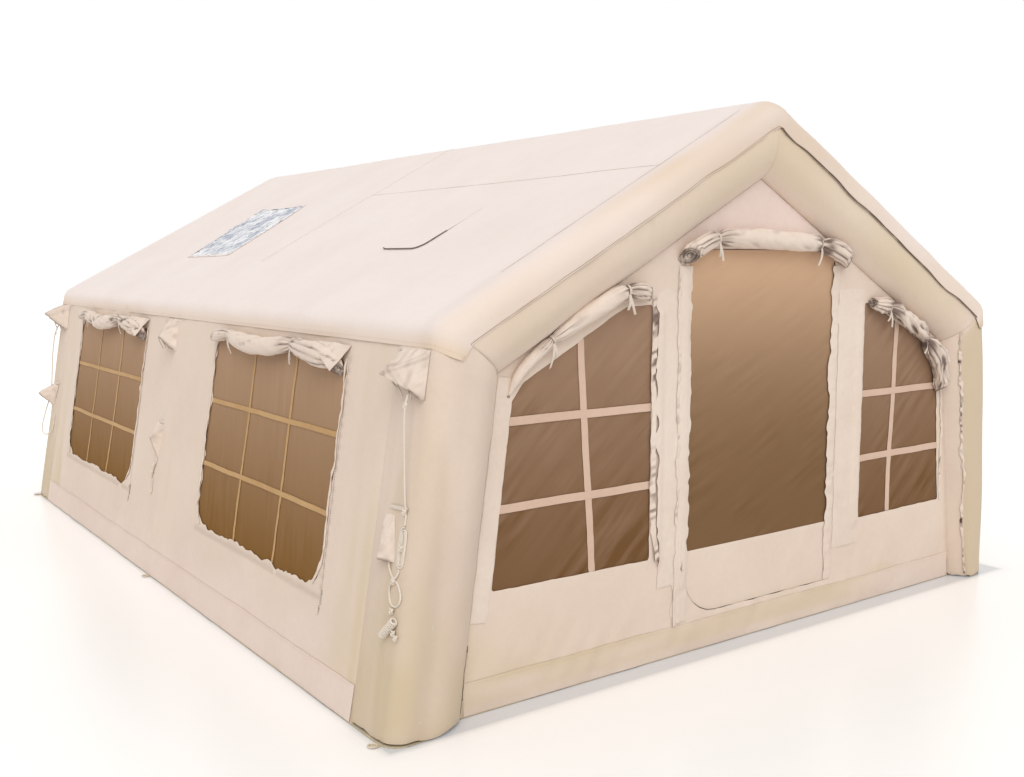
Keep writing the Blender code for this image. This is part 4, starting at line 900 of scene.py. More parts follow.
def make_shell():
    cloth = cut_sheet(FLY, box_outline(FLY_ACROSS, -HEM, HEM), [on_fly(SKYLIGHT), on_fly(jack_box(0, 0))], 0.027,
                      fly_marks)
    make_sheet("roof_fly_cloth", cloth, ROOF, "roof", "roof_fly", 0.002, flat=(2 * FLY_ACROSS, 2 * HEM),
               held="stretched", rests_on=["front_arch_sleeve_cloth"])
    low, high = FLOOR_TOP / math.cos(LEAN), (HEM_HEIGHT + 0.04) / math.cos(LEAN)
    wall_length, window_area = 4.5, 1.30 * 0.89
    for name, side in SIDES.items():
        holes = [wavy(side_outline(end), 100 + side + 5 * end, 0.013) for end in (-1, 1)]
        cloth = cut_sheet(LONG_WALLS[side], box_outline(2.262, low, high), holes, 0.024, side_marks, 0.6)
        make_sheet(name + "_wall_cloth", cloth, CANVAS, "canvas", name + "_wall", WALL_CLOTH,
                   flat=(wall_length, high - low), held="stretched", rests_on=["roof_fly_cloth"],
                   area=wall_length * (high - low) - 2 * window_area)
    for name, end in ENDS.items():
        holes = [rounded(hole, [0.006] * 6) if len(hole) == 6 else hole for hole in GABLE_HOLES[end]]
        holes = [wavy(hole, 110 + i, 0.002) for i, hole in enumerate(holes)]
        cloth = cut_sheet(GABLES[end], GABLE_OUTLINE, holes, 0.022, gable_marks, 0.6)
        make_sheet(name + "_wall_cloth", cloth, CANVAS, "canvas", name + "_wall", WALL_CLOTH,
                   flat=tuple(np.ptp(GABLE_OUTLINE, 0)), held="stretched", rests_on=["front_arch_sleeve_cloth"],
                   area=area_of(GABLE_OUTLINE) - sum(map(area_of, holes)))
    for name, end in ENDS.items():
        ps = np.linspace(0, SLEEVE_ACROSS, 60)
        left, right = (FOOT - 0.007 * (1 + noise(ps / 0.035, 0, 67 + end * side)) for side in (1, 2))
        outline = list(zip(ps, -left)) + list(zip(ps[::-1], right[::-1]))
        cloth = cut_sheet(SLEEVES[end], outline, [], 0.022, sleeve_marks(end))
        make_sheet(name + "_arch_sleeve_cloth", cloth, CANVAS, "canvas", name + "_arch_sleeve", WALL_CLOTH,
                   flat=(SLEEVE_ACROSS, 2 * FOOT), held="stretched", rests_on=["front_arch_tube"])


# Free ropes, as (u along the left wall, height above the ground, w out of the wall)

ROPE_RADIUS, REST = 0.004, 0.0043
HANK_CENTRE, HANK_TURNS = (-2.455, 0.667), 2.25
WOUND_START, WOUND_END, WOUND_RADIUS, WOUND_TURNS = (-2.418, 0.362), (-2.482, 0.428), 0.012, 9.5
FRONT_ROPE = [(-2.415, 1.1962, 0.030), (-2.428, 1.175, 0.044), (-2.4385, 1.148, 0.054), (-2.44, 1.10, 0.0515),
              (-2.44, 1.05, 0.0445), (-2.44, 0.95, 0.0285), (-2.44, 0.87, 0.0157), (-2.444, 0.81, 0.0065),
              (-2.453, 0.775, REST), (-2.455, 0.7434, REST)]
LOWER_ROPE = [(-2.385, 0.6085, 0.008), (-2.392, 0.588, 0.007), (-2.415, 0.562, 0.0045), (-2.455, 0.545, REST),
              (-2.480, 0.520, REST), (-2.484, 0.492, REST), (-2.462, 0.470, REST), (-2.430, 0.472, REST),
              (-2.412, 0.495, REST), (-2.412, 0.525, 0.008), (-2.432, 0.550, 0.0145), (-2.450, 0.573, 0.008),
              (-2.455, 0.5958, REST)]
MIDDLE_ROPE = [(0.11, 0.5987, 0.0048), (0.118, 0.578, REST), (0.145, 0.545, REST), (0.163, 0.505, REST),
               (0.165, 0.450, REST), (0.156, 0.412, REST), (0.142, 0.414, REST), (0.140, 0.445, REST),
               (0.146, 0.485, REST)]
REAR_ROPE = [(2.405, 1.1985, 0.026), (2.42, 1.17, 0.036), (2.445, 1.11, 0.040), (2.462, 0.98, 0.034),
             (2.470, 0.86, 0.022), (2.4755, 0.78, 0.014), (2.478, 0.70, 0.012), (2.470, 0.62, 0.028),
             (2.447, 0.55, 0.044), (2.437, 0.49, 0.051), (2.410, 0.446, 0.048), (2.365, 0.437, 0.032),
             (2.335, 0.465, 0.014), (2.330, 0.520, REST), (2.337, 0.580, REST)]


def on_long_wall(side, route):
    """Turns (u along a long wall, height, w out of it) into places."""
    u, height, w = np.array(route, float).T
    v = height / math.cos(LEAN)
    x = side * (BASE_HALF_WIDTH - v * math.sin(LEAN) + w * math.cos(LEAN))
    return np.stack([x, u, v * math.cos(LEAN) + w * math.sin(LEAN)], 1)


def laid_rope(path, radius=ROPE_RADIUS, lay=0.024, sides=12, ends=True):
    """A three-strand rope along a path: its section has three lobes that turn as it runs."""
    along = heading(path)
    frames = [unit(np.cross(along[0], (0.3, 0.5, 0.8)))]
    for direction in along[1:]:
        frames.append(unit(frames[-1] - direction * frames[-1].dot(direction)))
    lobes = 0.92 + 0.10 * np.cos(3 * (around(sides)[None, :] - math.tau * run_of(path)[:, None] / lay))
    return pipe(path, np.array(frames), radius, lobes, ends)


def knot(place, size=0.0031):
    """An overhand knot pulled tight round a rope."""
    t = np.linspace(0, math.tau, 61)
    turn = np.stack([np.sin(t) + 2 * np.sin(2 * t), np.cos(t) - 2 * np.cos(2 * t), -np.sin(3 * t)], 1) * size
    return laid_rope(on_long_wall(-1, turn + place), 0.0036, ends=False)


def route_path(route):
    line = dense_line(route, 0.004)
    line[:, 2] = np.maximum(line[:, 2], REST)
    return on_long_wall(-1, line)


def hank_path():
    t = np.linspace(0, HANK_TURNS, 180)
    a, width = math.tau * t, 0.005 + 0.0087 * t
    run = 0.046 * np.clip(2 * np.sin(a), -1, 1)
    route = np.stack([HANK_CENTRE[0] + width * np.cos(a), HANK_CENTRE[1] + width * np.sin(a) + run,
                      np.full(len(t), REST)], 1)
    return on_long_wall(-1, route[::-1])


def wound_path():
    start, end = np.array(WOUND_START), np.array(WOUND_END)
    along, share = unit(end - start), np.linspace(0, 1, 320)
    a = math.tau * WOUND_TURNS * share
    u, height = (start + (end - start) * share[:, None]).T
    route = np.stack([u + along[1] * WOUND_RADIUS * np.cos(a), height - along[0] * WOUND_RADIUS * np.cos(a),
                      REST + WOUND_RADIUS * (1 + np.sin(a))], 1)
    return on_long_wall(-1, route[::-1])


def make_ropes():
    for name, path, far_end, lay, node, knots in (
            ("front", route_path(FRONT_ROPE), "knot", "hanging", "front_left",
             [(-2.4385, 1.146, 0.054), (-2.450, 0.790, 0.0115)]),
            ("front_hank", hank_path(), "knot", "coiled", "front_left_hank", [(-2.455, 0.668, 0.010)]),
            ("lower", route_path(LOWER_ROPE), "knot", "hanging", "lower_front_left", [(-2.4325, 0.550, 0.010)]),
            ("lower_winding", wound_path(), "bare", "coiled", "lower_front_left_winding",
             [(-2.474, 0.385, 0.011), (-2.490, 0.372, 0.009), (-2.4455, 0.452, 0.010)]),
            ("middle", route_path(MIDDLE_ROPE), "knot", "hanging", "middle_left",
             [(0.131, 0.560, 0.0115), (0.151, 0.520, 0.010)]),
            ("rear", route_path(REAR_ROPE), "knot", "hanging", "rear_left", [(2.4345, 1.135, 0.0385)])):
        name = "guy_cord_" + name
        made = make_piece(name, [laid_rope(path)], ROPE, ["guy_rope_" + node])
        tied = make_piece(name + "_knots", [knot(place) for place in knots], ROPE)


# Windows, their tapes and trims

def across_room(room, v):
    """Where a level line at v enters and leaves an outline."""
    crossings = [au + (bu - au) * (v - av) / (bv - av)
                 for (au, av), (bu, bv) in zip(room, np.roll(np.array(room), -1, 0)) if (av > v) != (bv > v)]
    return min(crossings), max(crossings)


def make_window(name, at, outline, material, tape_material, width, uprights, levels):
    room = inset(outline, -0.016)
    seed = sum(map(ord, name))

    def slack(u, v):
        rim = off_line(u, v, closed(outline))
        pulled = 0.0012 * noise((u - 0.9 * v) / 0.035, (u + v) / 0.4, seed + 3)
        return -0.0048 - 0.002 * ease(rim, 0, 0.1) * (1 + noise(u / 0.25, v / 0.3, seed)) + pulled
    behind = at.raised(slack)
    panel = make_piece(name + "_net", [cut_sheet(behind, room, [], 0.022)], material, [name], NET_CLOTH)

    def sewn(seed_here):
        return lambda run, share: (0.0012 * noise(run / 0.12, 0, seed_here),
                                   0.0005 * noise(run / 0.03, share, seed_here + 1))
    parts, (low, high) = [], (room[:, 1].min(), room[:, 1].max())
    for i, ((start_u, start_v), (end_u, end_v)) in enumerate(uprights):
        lean = (end_u - start_u) / (end_v - start_v)
        path = spaced([(start_u + lean * (v - start_v), v) for v in (low, high)], 0.02)
        parts.append(tape(behind, path[inside(path, room)], width * (0.8 if tape_material == GOLD_TAPE else 1.0),
                          0.0018, columns=6, ruffle=sewn(seed + i)))
    for i, v in enumerate(levels):
        start, end = across_room(room, v)
        parts.append(tape(behind, [(start, v), (end, v)], width, 0.0026, columns=6, ruffle=sewn(seed + 9 + i)))
    tapes = [make_piece(name + "_tapes", parts, tape_material, thickness=THIN_CLOTH)] if parts else []


def make_windows():
    low, high = SIDE_SILL, SIDE_HEAD
    for corner, side, end in CORNERS:
        name, at, centre = corner + "_window", LONG_WALLS[side], end * SIDE_CENTRE
        seed = 200 + 30 * end + 7 * side
        uprights = [((u, low), (u, high)) for u in (centre + s * 0.32 * SIDE_HALF for s in (-1, 1))]
        levels = [low + share * (high - low) for share in (0.33, 0.67)]
        make_window(name, at, side_outline(end), SIDE_NET, GOLD_TAPE, 0.022, uprights, levels)
        near, far = centre - SIDE_HALF, centre + SIDE_HALF
        make_piece(name + "_edging", [
            trim(at, [(near - 0.003, high), (near - 0.004, low + 0.12), (near + 0.05, low + 0.02)],
                 0.011, 0.0015, seed, 0.010, gather=0.002, dark=0.05),
            trim(at, [(far - 0.04, low), (far + 0.004, low + 0.10), (far + 0.006, high)],
                 0.012, 0.0015, seed + 5, 0.008, gather=0.003, dark=0.12),
            tape(at, [(near - 0.020, low - 0.055), (near - 0.024, low - 0.085)], 0.012, 0.0025, 0.01),
        ], COVER, thickness=TAPE_CLOTH)
    for name, outline, upright, levels in (
            ("front_left_window", LEFT_WINDOW, ((-0.91, 0.435), (-0.975, 1.335)), (0.745, 1.062)),
            ("front_right_window", RIGHT_WINDOW, ((0.98, 0.42), (1.01, 1.345)), (0.707, 1.017))):
        make_window(name, GABLES[-1], outline, FRONT_NET, CREAM_TAPE, 0.032, [upright], levels)
    make_window("rear_window", GABLES[1], GABLE_HOLES[1][0], REAR_NET, CREAM_TAPE, 0.03, [], [])


# Rolled covers with their ties

ROLL_TURNS = 5.0


def make_roll(name, cloth, path, radius, seed, ties, droop, ends, crumple, cone=0.0, bunch=(0.0, 0.0), bevel=0.5,
              taper=1.0):
    """A cover rolled up in a spiral along a path of (u, v), pinched at its ties, crumpled between them."""
    line = dense_line(path, 0.008)
    at, rows = cloth.plain(), len(line)
    share, belly = np.linspace(0, 1, rows), np.zeros(rows)
    for a, b in zip([0] + ties, ties + [1]):
        rise = np.sin(math.pi * np.clip((share - a) / (b - a), 0, 1)) ** 0.7 * min((b - a) / 0.5, 1)
        belly = np.where((share >= a) & (share <= b), rise, belly)
    centre = at(line[:, 0], line[:, 1] - droop * belly)
    out = at(line[:, 0], line[:, 1], 1.0) - at(line[:, 0], line[:, 1])
    along = heading(centre)
    across = np.cross(along, out)
    length = run_of(centre)[-1]
    run = share * length
    pinch = 0.84 + (0.16 + droop * 7) * belly
    for tie in ties:
        pinch -= 0.38 * bump_at(share, tie, 0.020 / length)
    pinch *= 1 + 0.08 * crumple * noise(share * 9, 0, seed)
    pinch *= 1 + (ends[0] - 1) * ease(0.10 - share, 0, 0.10) + (ends[1] - 1) * ease(share - 0.93, 0, 0.07)
    pinch *= taper + (1 - taper) * ease(share, 0, 0.8)
    pinch *= 1 + cone * ease(share, ties[-1] + 0.02, 0.90) * ease(1.02 - share, 0, 0.10)
    # The last turn and a quarter show, and have finer steps
    shown = math.tau * (ROLL_TURNS - 1.25)
    sweep = np.concatenate([np.linspace(0, shown, int(14 * (ROLL_TURNS - 1.25))),
                            np.linspace(shown, math.tau * ROLL_TURNS, 50)[1:]])
    part = (sweep / sweep[-1])[None, :]
    s, r = share[:, None], run[:, None]
    a = (math.pi * 0.75 - (sweep - sweep[-1]))[None, :]
    here = radius * pinch[:, None] * (0.16 + 0.84 * part)
    at_ties = sum(bump_at(s, tie, 0.07 / length) for tie in ties)
    at_ties = at_ties + bunch[0] * (s < ties[0]) + bunch[1] * (s > ties[-1])
    wave = noise(np.cos(a) * 1.1 + r / 0.11, np.sin(a) * 1.1 + r / 0.16, seed + 1)
    fine = noise(np.cos(a) * 2.4 + r / 0.05, np.sin(a) * 2.4 - r / 0.06, seed + 2)
    sharp = (1 - np.abs(noise(np.cos(a) * 1.3 + r / 0.05, np.sin(a) * 1.3 - r / 0.12, seed + 5))) ** 5
    rays = np.abs(np.sin(4.5 * a + 2.0 * noise(a * 0.8, s * 3, seed + 3)))
    shape = crumple * (0.14 * wave + 0.08 * fine + 0.10 * (sharp - 0.3)) - 0.24 * at_ties * (1 - rays) ** 2
    here = here * (1 + shape * (0.3 + 0.7 * part))
    high = np.maximum(radius * pinch[:, None] * 0.90 + here * np.cos(a) * 0.90, 0.0025 + 0.001 * part)
    poke = 0.012 * (1 - part) * (ease(0.04 - s, 0, 0.04) - ease(s, 0.96, 1))
    # The ends are cut on the slant, so that the turns of the spiral show
    poke = poke + bevel * high * (ease(0.10 - s, 0, 0.10) - ease(s, 0.90, 1))
    points = sum(way[:, None, :] * size[:, :, None]
                 for way, size in ((out, high), (across, here * np.sin(a)), (along, poke))) + centre[:, None, :]
    flat = np.stack(np.broadcast_arrays(r, radius * 0.6 * sweep[None, :]), 2).reshape(-1, 2)
    # Painted shade: darker in the hollows of the crumples, at the gathers of the ties, round the bunched ends
    # and between the turns at the cut ends
    rim = ease(r, length - 0.010, length - 0.004) + ease(0.010 - r, 0, 0.006)
    dark = 1.3 * at_ties * (1 - rays) ** 4 + 0.7 * crumple * np.clip(-wave - 0.6 * fine - 0.35, 0, 1)
    dark = dark + rim * (0.5 + 0.5 * np.sin(math.tau * 2.5 * part + noise(a, 0, seed + 6)))
    for tie, strength in zip((ties[0], ties[-1]), bunch):
        dark = dark + 1.2 * strength * bump_at(s, tie, 0.05 / length) * np.clip(0.5 + wave + fine, 0, 1)
    faces = grid_faces(rows, len(sweep), flip=at.turn > 0)
    painted_shade = np.clip(dark + 0 * here, 0, 0.85).ravel()
    cloth = make_piece(name + "_cloth", [(points.reshape(-1, 3), faces, flat, 0.0, painted_shade)], COVER,
                       [name], ROLLED_CLOTH, 0.0)
    straps = []
    steps = np.linspace(0, 1, 9)[:, None]
    for tie in ties:
        i = min(round(tie * (rows - 1)), rows - 1)
        here = radius * pinch[i]
        turn = np.linspace(0, math.tau, 25)[:, None]
        ring = centre[i] + out[i] * (here * 0.92) + (here * 1.06 + 0.002) * (np.cos(turn) * out[i]
                                                                            + np.sin(turn) * across[i])
        straps.append((np.vstack([ring + along[i] * offset for offset in (-0.006, 0.0, 0.006)]),
                       grid_faces(3, len(ring)), None, 0.0, 0.12))
        for k, fall in enumerate((0.08, 0.06)):
            lean = 0.35 * math.sin(seed * 1.7 + 5 * tie + 2 * k)
            start = centre[i] + out[i] * (here * 1.75) + np.array([0, 0, -0.3 * radius])
            way = start + np.array([0, 0, -1.0]) * fall * steps
            way = way + along[i] * (lean * fall * steps ** 1.5) + out[i] * (0.006 * np.sin(math.pi * steps))
            straps.append((np.vstack([way + along[i] * offset for offset in (-0.006, 0.006)]), grid_faces(2, 9)))
    straps = make_piece(name + "_ties", straps, WEBBING, (), TAPE_CLOTH, 0.0)


def make_rolls():
    for corner, side, end in CORNERS:
        centre, high = end * SIDE_CENTRE, SIDE_HEAD + 0.030
        near, far = centre - SIDE_HALF, centre + SIDE_HALF
        path = [(far + 0.04, high - 0.016), (far - 0.14, high + 0.002), (far - 0.35, high),
                (centre, high - 0.004), (near + 0.34, high), (near + 0.14, high - 0.016),
                (near + 0.05, high - 0.050), (near + 0.02, high - 0.092)]
        make_roll(corner + "_cover_roll", LONG_WALLS[side], path, 0.036, 300 + end + 3 * side, [0.16, 0.66],
                  0.032, (0.85, 1.0), 0.8 if end < 0 else 1.4, 0.30, (0.3, 0.7), 0.9)
        top = high * math.cos(LEAN)
        points = [(near - 0.022, top + 0.020, 0.003), (near + 0.20, top + 0.026, 0.040),
                  (near + 0.13, top - 0.02, 0.072), (near + 0.030, top - 0.085, 0.058)]
        folded_flap(corner + "_cover_corner", side, points, [(0, 1, 2), (0, 2, 3)], 350 + end + side, [], 13)
    # Path, radius, seed, ties, droop, size of the ends, crumple, cone, bunching at the ends, bevel, taper
    for name, path, *shape in (
            ("front_left_cover_roll", [(-1.318, 1.150), (-1.262, 1.250), (-1.12, 1.355), (-0.945, 1.456),
                                       (-0.80, 1.518), (-0.72, 1.524), (-0.635, 1.508)],
             0.042, 320, [0.35, 0.84], 0.002, (0.3, 0.9), 0.45, 0.0, (0.0, 0.8), 0.5, 0.45),
            ("front_right_cover_roll", [(0.765, 1.450), (0.90, 1.425), (1.05, 1.365), (1.20, 1.275),
                                        (1.30, 1.18), (1.345, 1.08), (1.360, 0.985)],
             0.041, 330, [0.17, 0.60], 0.010, (0.7, 0.8), 2.3, 0.0, (0.9, 0.9)),
            ("door_awning_roll", [(-0.470, 1.635), (-0.42, 1.685), (-0.30, 1.728), (-0.10, 1.737), (0.15, 1.728),
                                  (0.38, 1.712), (0.50, 1.68), (0.60, 1.625)],
             0.045, 340, [0.20, 0.78], 0.004, (1.05, 0.9), 0.5, 0.2, (0.6, 1.4), 0.8)):
        make_roll(name, GABLES[-1], path, *shape)


# Door

def clip_level(outline, level, above):
    kept = []
    for a, b in zip(outline, np.roll(outline, -1, 0)):
        if (a[1] >= level) == above:
            kept.append(tuple(a))
        if (a[1] >= level) != (b[1] >= level):
            kept.append(tuple(a + (b - a) * (level - a[1]) / (b[1] - a[1])))
    return kept


def make_door():
    def relief(u, v):
        high = 0.0025 * noise(u / 0.3, v / 0.4, 401) + 0.0012 * noise((u - v) / 0.08, (u + v) / 0.5, 402)
        return high * ease(DOOR_RIGHT - u, 0, 0.05)

    def lower_marks(u, v):
        return ease(0.20 - v, 0, 0.05) * 0.25 - 0.08, 0.0
    at, opening = Cloth(gable_base(-1), relief, 1), inset(door_outline(), 0.0025)
    cloth = cut_sheet(at.raised(-0.0030), clip_level(opening, DOOR_PANEL_TOP - 0.012, True), [], 0.025)
    make_sheet("door_mesh_net", cloth, DOOR_NET, "mesh", "door_mesh", NET_CLOTH, "door", flat=(0.92, 1.27),
               held="hung", rests_on=["front_wall_cloth"])
    cloth = cut_sheet(at.raised(-0.0006), clip_level(opening, DOOR_PANEL_TOP + 0.006, False), [], 0.02,
                      lower_marks)
    make_sheet("door_lower_panel_cloth", cloth, CANVAS, "canvas", "door_lower_panel", 0.0022, "door",
               flat=(0.92, 0.28), held="hung", rests_on=["door_mesh_net"])

    # The flaps rise over the sliders, all the way that these run under them
    sliders = []
    for name, travel in (("door", 1.2), ("front_left", 0.95), ("front_right", 0.95)):
        node = NODES[name + "_zip_slider"]
        corners = np.array([node.matrix_world @ v.co for v in node.data.vertices])
        sliders.append((corners.min(0), corners.max(0) + (0, 0, travel)))
    flaps = []
    # Path, width, lift, seed, wander, puff, spacing, gather, dark (painted shade between the gathers)
    for path, width, *shape in (
            ([(-0.437, 0.14), (-0.436, 0.6), (-0.432, 1.1), (-0.438, 1.62)], 0.078, 0.0014, 410,
             0.012, 0.006, 0.012),
            ([(-0.468, 0.13), (-0.464, 0.8), (-0.468, 1.60)], 0.014, 0.0050, 415,
             0.007, 0.002, 0.008, 0.002, 0.22),
            ([(0.652, 0.30), (0.650, 0.8), (0.647, 1.2), (0.645, 1.60)], 0.19, 0.0012, 420,
             0.008, 0.002, 0.02),
            ([(0.521, 1.62), (0.518, 1.1), (0.522, 0.6), (0.520, 0.16)], 0.046, 0.0016, 425,
             0.010, 0.003, 0.008, 0.002, 0.05),
            ([(-0.522, 1.60), (-0.520, 1.0), (-0.515, 0.6), (-0.497, 0.31)], 0.13, 0.0014, 430,
             0.014, 0.003, 0.015),
            ([(-1.449, 0.34), (-1.385, 0.78), (-1.321, 1.225)], 0.072, 0.0014, 435, 0.003, 0.002, 0.02),
            ([(1.428, 0.42), (1.415, 0.80), (1.385, 1.06)], 0.016, 0.0014, 437,
             0.006, 0.003, 0.008, 0.002, 0.35),
            ([(-0.604, 1.50), (-0.604, 1.1), (-0.601, 0.75), (-0.596, 0.55), (-0.576, 0.43)], 0.022, 0.0020,
             440, 0.006, 0.002, 0.005, 0.003, 0.5)):
        points, *others = trim(GABLES[-1], path, width, *shape)
        for low, high in sliders:
            away = np.linalg.norm(np.maximum(np.maximum(low - points, points - high), 0)[:, [0, 2]], axis=1)
            short = np.maximum(points[:, 1] - low[1] + 0.0012, 0)
            points[:, 1] -= short * bump_at(np.maximum(away - 0.008, 0), 0, 0.012)
        if width > 0.1:
            points[:, 1] += 0.006 * ease(points[:, 2], 1.47, 1.57)
        flaps.append((points, *others))
    make_piece("front_storm_flaps", flaps, COVER, thickness=THIN_CLOTH)


# Roof fittings

def make_roof_fittings():
    def crinkle(u, v):
        return 0.006 * (np.abs(noise(u / 0.05, v / 0.04, 501))
                        + 0.6 * np.abs(noise((u + v) / 0.025, (u - v) / 0.03, 502))) - 0.002
    pane, ring = inset(on_fly(SKYLIGHT), -0.008), inset(on_fly(SKYLIGHT), -0.006)
    sheet = make_piece("skylight_film", [cut_sheet(FLY.raised(crinkle), pane, [], 0.010)], FILM,
                       ["skylight"], 0.0006)
    border = [tape(FLY, side, 0.022, 0.0015) for side in zip(ring, np.roll(ring, -1, 0))]
    border = make_piece("skylight_border", border, ROOF, thickness=0.001)

    panel = cut_sheet(FLY.raised(-0.0025), on_fly(jack_box(0.008, 0.008)), [], 0.012)
    make_piece("stove_jack_cloth", [panel], HEATPROOF, ["stove_jack_panel"], TAPE_CLOTH)
    centre, a = np.array(on_fly([(JACK_U, JACK_V)])[0]), np.linspace(0, math.tau, 41)
    rings = [tape(FLY, centre + radius * np.stack([np.cos(a), np.sin(a)], 1), 0.004, 0.0005, 0.008, 2)
             for radius in (0.045, 0.062, 0.079)]
    make_piece("stove_jack_cut_lines", rings, DARK_THREAD, thickness=THIN_CLOTH)

    half_u, half_v = JACK_HALF + 0.055, JACK_HALF + 0.08
    edge = closed(on_fly(rounded(jack_box(0.055, 0.08), (0.01, 0.01, 0.06, 0.06))))
    low_edge = on_fly([(0, JACK_V + half_v)])[0][1]
    loose = FLY.raised(lambda u, v: 0.0012 + 0.0035 * ease(low_edge + 0.30 - v, 0, 0.25))
    flap = make_piece("stove_jack_flap_cloth", [cut_sheet(loose, edge[:-1], [], 0.014)], ROOF,
                      ["stove_jack_flap"], 0.001, body="jack_flap")
    # The piping goes down the front edge and along the lower one
    low = [p for p in spaced(edge, 0.01) if p[1] < low_edge + 0.18 and p[0] < edge[:, 0].max() - 0.02]
    low.sort(key=lambda p: -p[1] if p[0] < edge[:, 0].min() + 0.003 else 9 + p[0])
    make_piece("stove_jack_flap_edge", [tape(loose, low, 0.005, 0.0010, 0.008, 2)], DARK_THREAD,
               thickness=0.001, body="jack_flap")


# Air tubes

def make_tube(name, path, radius, sides=32):
    """A blown-up tube: round, a little waisted at its joins, with rounded ends."""
    along, run = heading(path), run_of(path)
    flat_side = (0, 1.0, 0) if abs(along[len(path) // 2, 1]) < 0.5 else (1.0, 0, 0)
    end = np.minimum(run, run[-1] - run)
    big = 0.55 + 0.45 * np.sqrt(np.clip(end / 0.05, 0, 1))
    wrinkle = 1 + 0.006 * noise(run[:, None] / 0.06, np.cos(around(sides))[None, :] * 2, 601)
    points, *others = pipe(path, unit(np.cross(along, flat_side)), radius, big[:, None] * wrinkle)
    points[:, 2] = np.maximum(points[:, 2], FLOOR_TOP)
    make_piece(name + "_jacket", [(points, *others)], TUBE, [name])


def make_tubes():
    t = spaced([[-FOOT], [FOOT]], 0.025)[:, 0]
    x, z = frame_point(np.full(len(t), TUBE_DEPTH), t, FLOOR_TOP, TUBE_DEPTH, SLEEVE_RUN, TUBE_BEND, TUBE_BEND)
    for name, y in (("front", -END_ARCH_Y), ("middle", 0.0), ("rear", END_ARCH_Y)):
        drawn = slack_leg(t) if y < 0 else 0.0
        make_tube(name + "_arch_tube", np.stack([x - drawn, np.full(len(t), y), z], 1), TUBE_RADIUS - 0.001)
    eave_x, eave_z = eave_corner(TUBE_DEPTH)
    ridge_z = RIDGE_HEIGHT - RIDGE_BEND / math.cos(PITCH) + RIDGE_BEND - FABRIC - GAP - TUBE_RADIUS
    for part, start, end in (("front", -2.3364, -0.1003), ("rear", 0.1003, 2.3364)):
        for name, x, z in (("ridge_tube_", 0.0, ridge_z), ("eave_tube_left_", -eave_x, eave_z),
                           ("eave_tube_right_", eave_x, eave_z)):
            make_tube(name + part, spaced([(x, start, z), (x, end, z)], 0.025), TUBE_RADIUS - 0.004)


# Groundsheet and skirts

def make_ground():
    half_x, half_y = BASE_HALF_WIDTH + 0.004, HALF_LENGTH - 0.004
    tabs, tab = [-half_y + 0.07, 0.0, half_y - 0.07], 0.018
    edge = []
    for y in tabs:
        edge += [(half_x, y - tab), *[(half_x + tab + tab * math.cos(b), y + tab * math.sin(b))
                                      for b in np.linspace(-math.pi / 2, math.pi / 2, 13)], (half_x, y + tab)]
    near = [(leg_x(SLEEVE_FOOT_WIDTH, 0), -GABLE_Y - 0.004), (leg_x(0.26, 0), -2.498), (leg_x(0.18, 0), -2.532)]
    near += [(half_x - SLEEVE_CORNER * (1 - math.sin(b)), -half_y + SLEEVE_CORNER * (1 - math.cos(b)))
             for b in np.linspace(0, math.pi / 2, 7)]
    right = near + edge + [(x, -y) for x, y in reversed(near)]
    outline = right + [(-x, y) for x, y in reversed(right)]

    def ground_base(u, v):
        drawn = SLACK * ease(u, 1.6, 1.75) * ease(-v, 2.24, 2.46)
        return np.stack([u - drawn, v, np.full(len(u), 0.003)], 1)
    ground = Cloth(ground_base, lambda u, v: 0 * u, 1)
    tub = make_piece("groundsheet_cloth", [cut_sheet(ground, outline, [], 0.09, edge=0.12)], SKIRT,
                     ["groundsheet"], 0.003)
    b = np.linspace(0, math.tau, 33)
    rings = [ground(side * (half_x + 0.024) + 0.016 * np.cos(b), y + 0.016 * np.sin(b), 0.0025)
             for y in tabs for side in (-1, 1)]
    rings = [laid_rope(ring, 0.003, sides=8, ends=False) for ring in rings]
    rings = make_piece("peg_rings", rings, WEBBING)
    sides = [tape(cloth.plain(), [(-reach, 0.066), (reach, 0.066)], 0.128, -0.0050, 0.05, 2)
             for cloths, reach in ((LONG_WALLS, 2.21), (GABLES, 1.49)) for cloth in cloths.values()]
    sides = make_piece("groundsheet_sides", sides, SKIRT, thickness=0.002)

    def loose(seed):
        return lambda run, share: (0.003 * noise(run / 0.3, 0, seed) * (share > 0),
                                   0.0035 * (0.5 + noise(run / 0.12, share, seed + 1)) * (0.5 - share))
    bands = []
    for end, at in GABLES.items():
        points, faces, flat, _, painted_shade = tape(at, [(-1.515, 0.066), (1.515, 0.066)], 0.124, 0.0013, 0.02, 6,
                                            loose(611 + end))
        x, z = points[:, 0], points[:, 2]
        khaki_and_painted_light = 0.95 * ease(1.0 - x, 0, 0.5) * ease(z, 0.01, 0.05) * (0.65 + 0.5 * noise(x / 0.3, z / 0.06, 613))
        bands.append((points, faces, flat, khaki_and_painted_light - 0.1, painted_shade))
    for side, at in LONG_WALLS.items():
        bands.append(tape(at, [(-2.248, 0.072), (2.245, 0.072)], 0.136, 0.0011, 0.02, 6, loose(621 + side),
                          -0.30))
    make_piece("skirt_bands", bands, CANVAS, thickness=0.0011)


# Guy flaps: where a pair stands along the wall, then the corners and tip of the lower flap and the
# tips of the upper one, as (across, down, out) shares of its size

FLAPS = {
    "front": (-2.375, [(0.46, 0.11, 0), (0.0, 0.11, 0), (-0.31, 0.97, 0), (0.577, 0.97, 0), (0.115, 0.97, 0.38)],
              [(-0.316, 0.822, 0.4), (0.316, 0.61, 0.715)]),
    "middle": (0.11, [(0.54, -0.03, 0), (-0.46, 0.03, 0), (0, 1.03, 0), (-0.077, 0.444, 0.62)],
               [(-0.053, 0.61, 0.615)]),
    "rear": (2.375, [(0.615, -0.03, 0), (-0.346, 0.03, 0), (0.154, 0.86, 0), (0.346, 0.39, 1)],
             [(0.237, 0.432, 1)])}
FLAP_BASE = [(0.5, 0, 0), (-0.5, 0, 0), (-0.5, 1, 0), (0, 0.734, 0)]
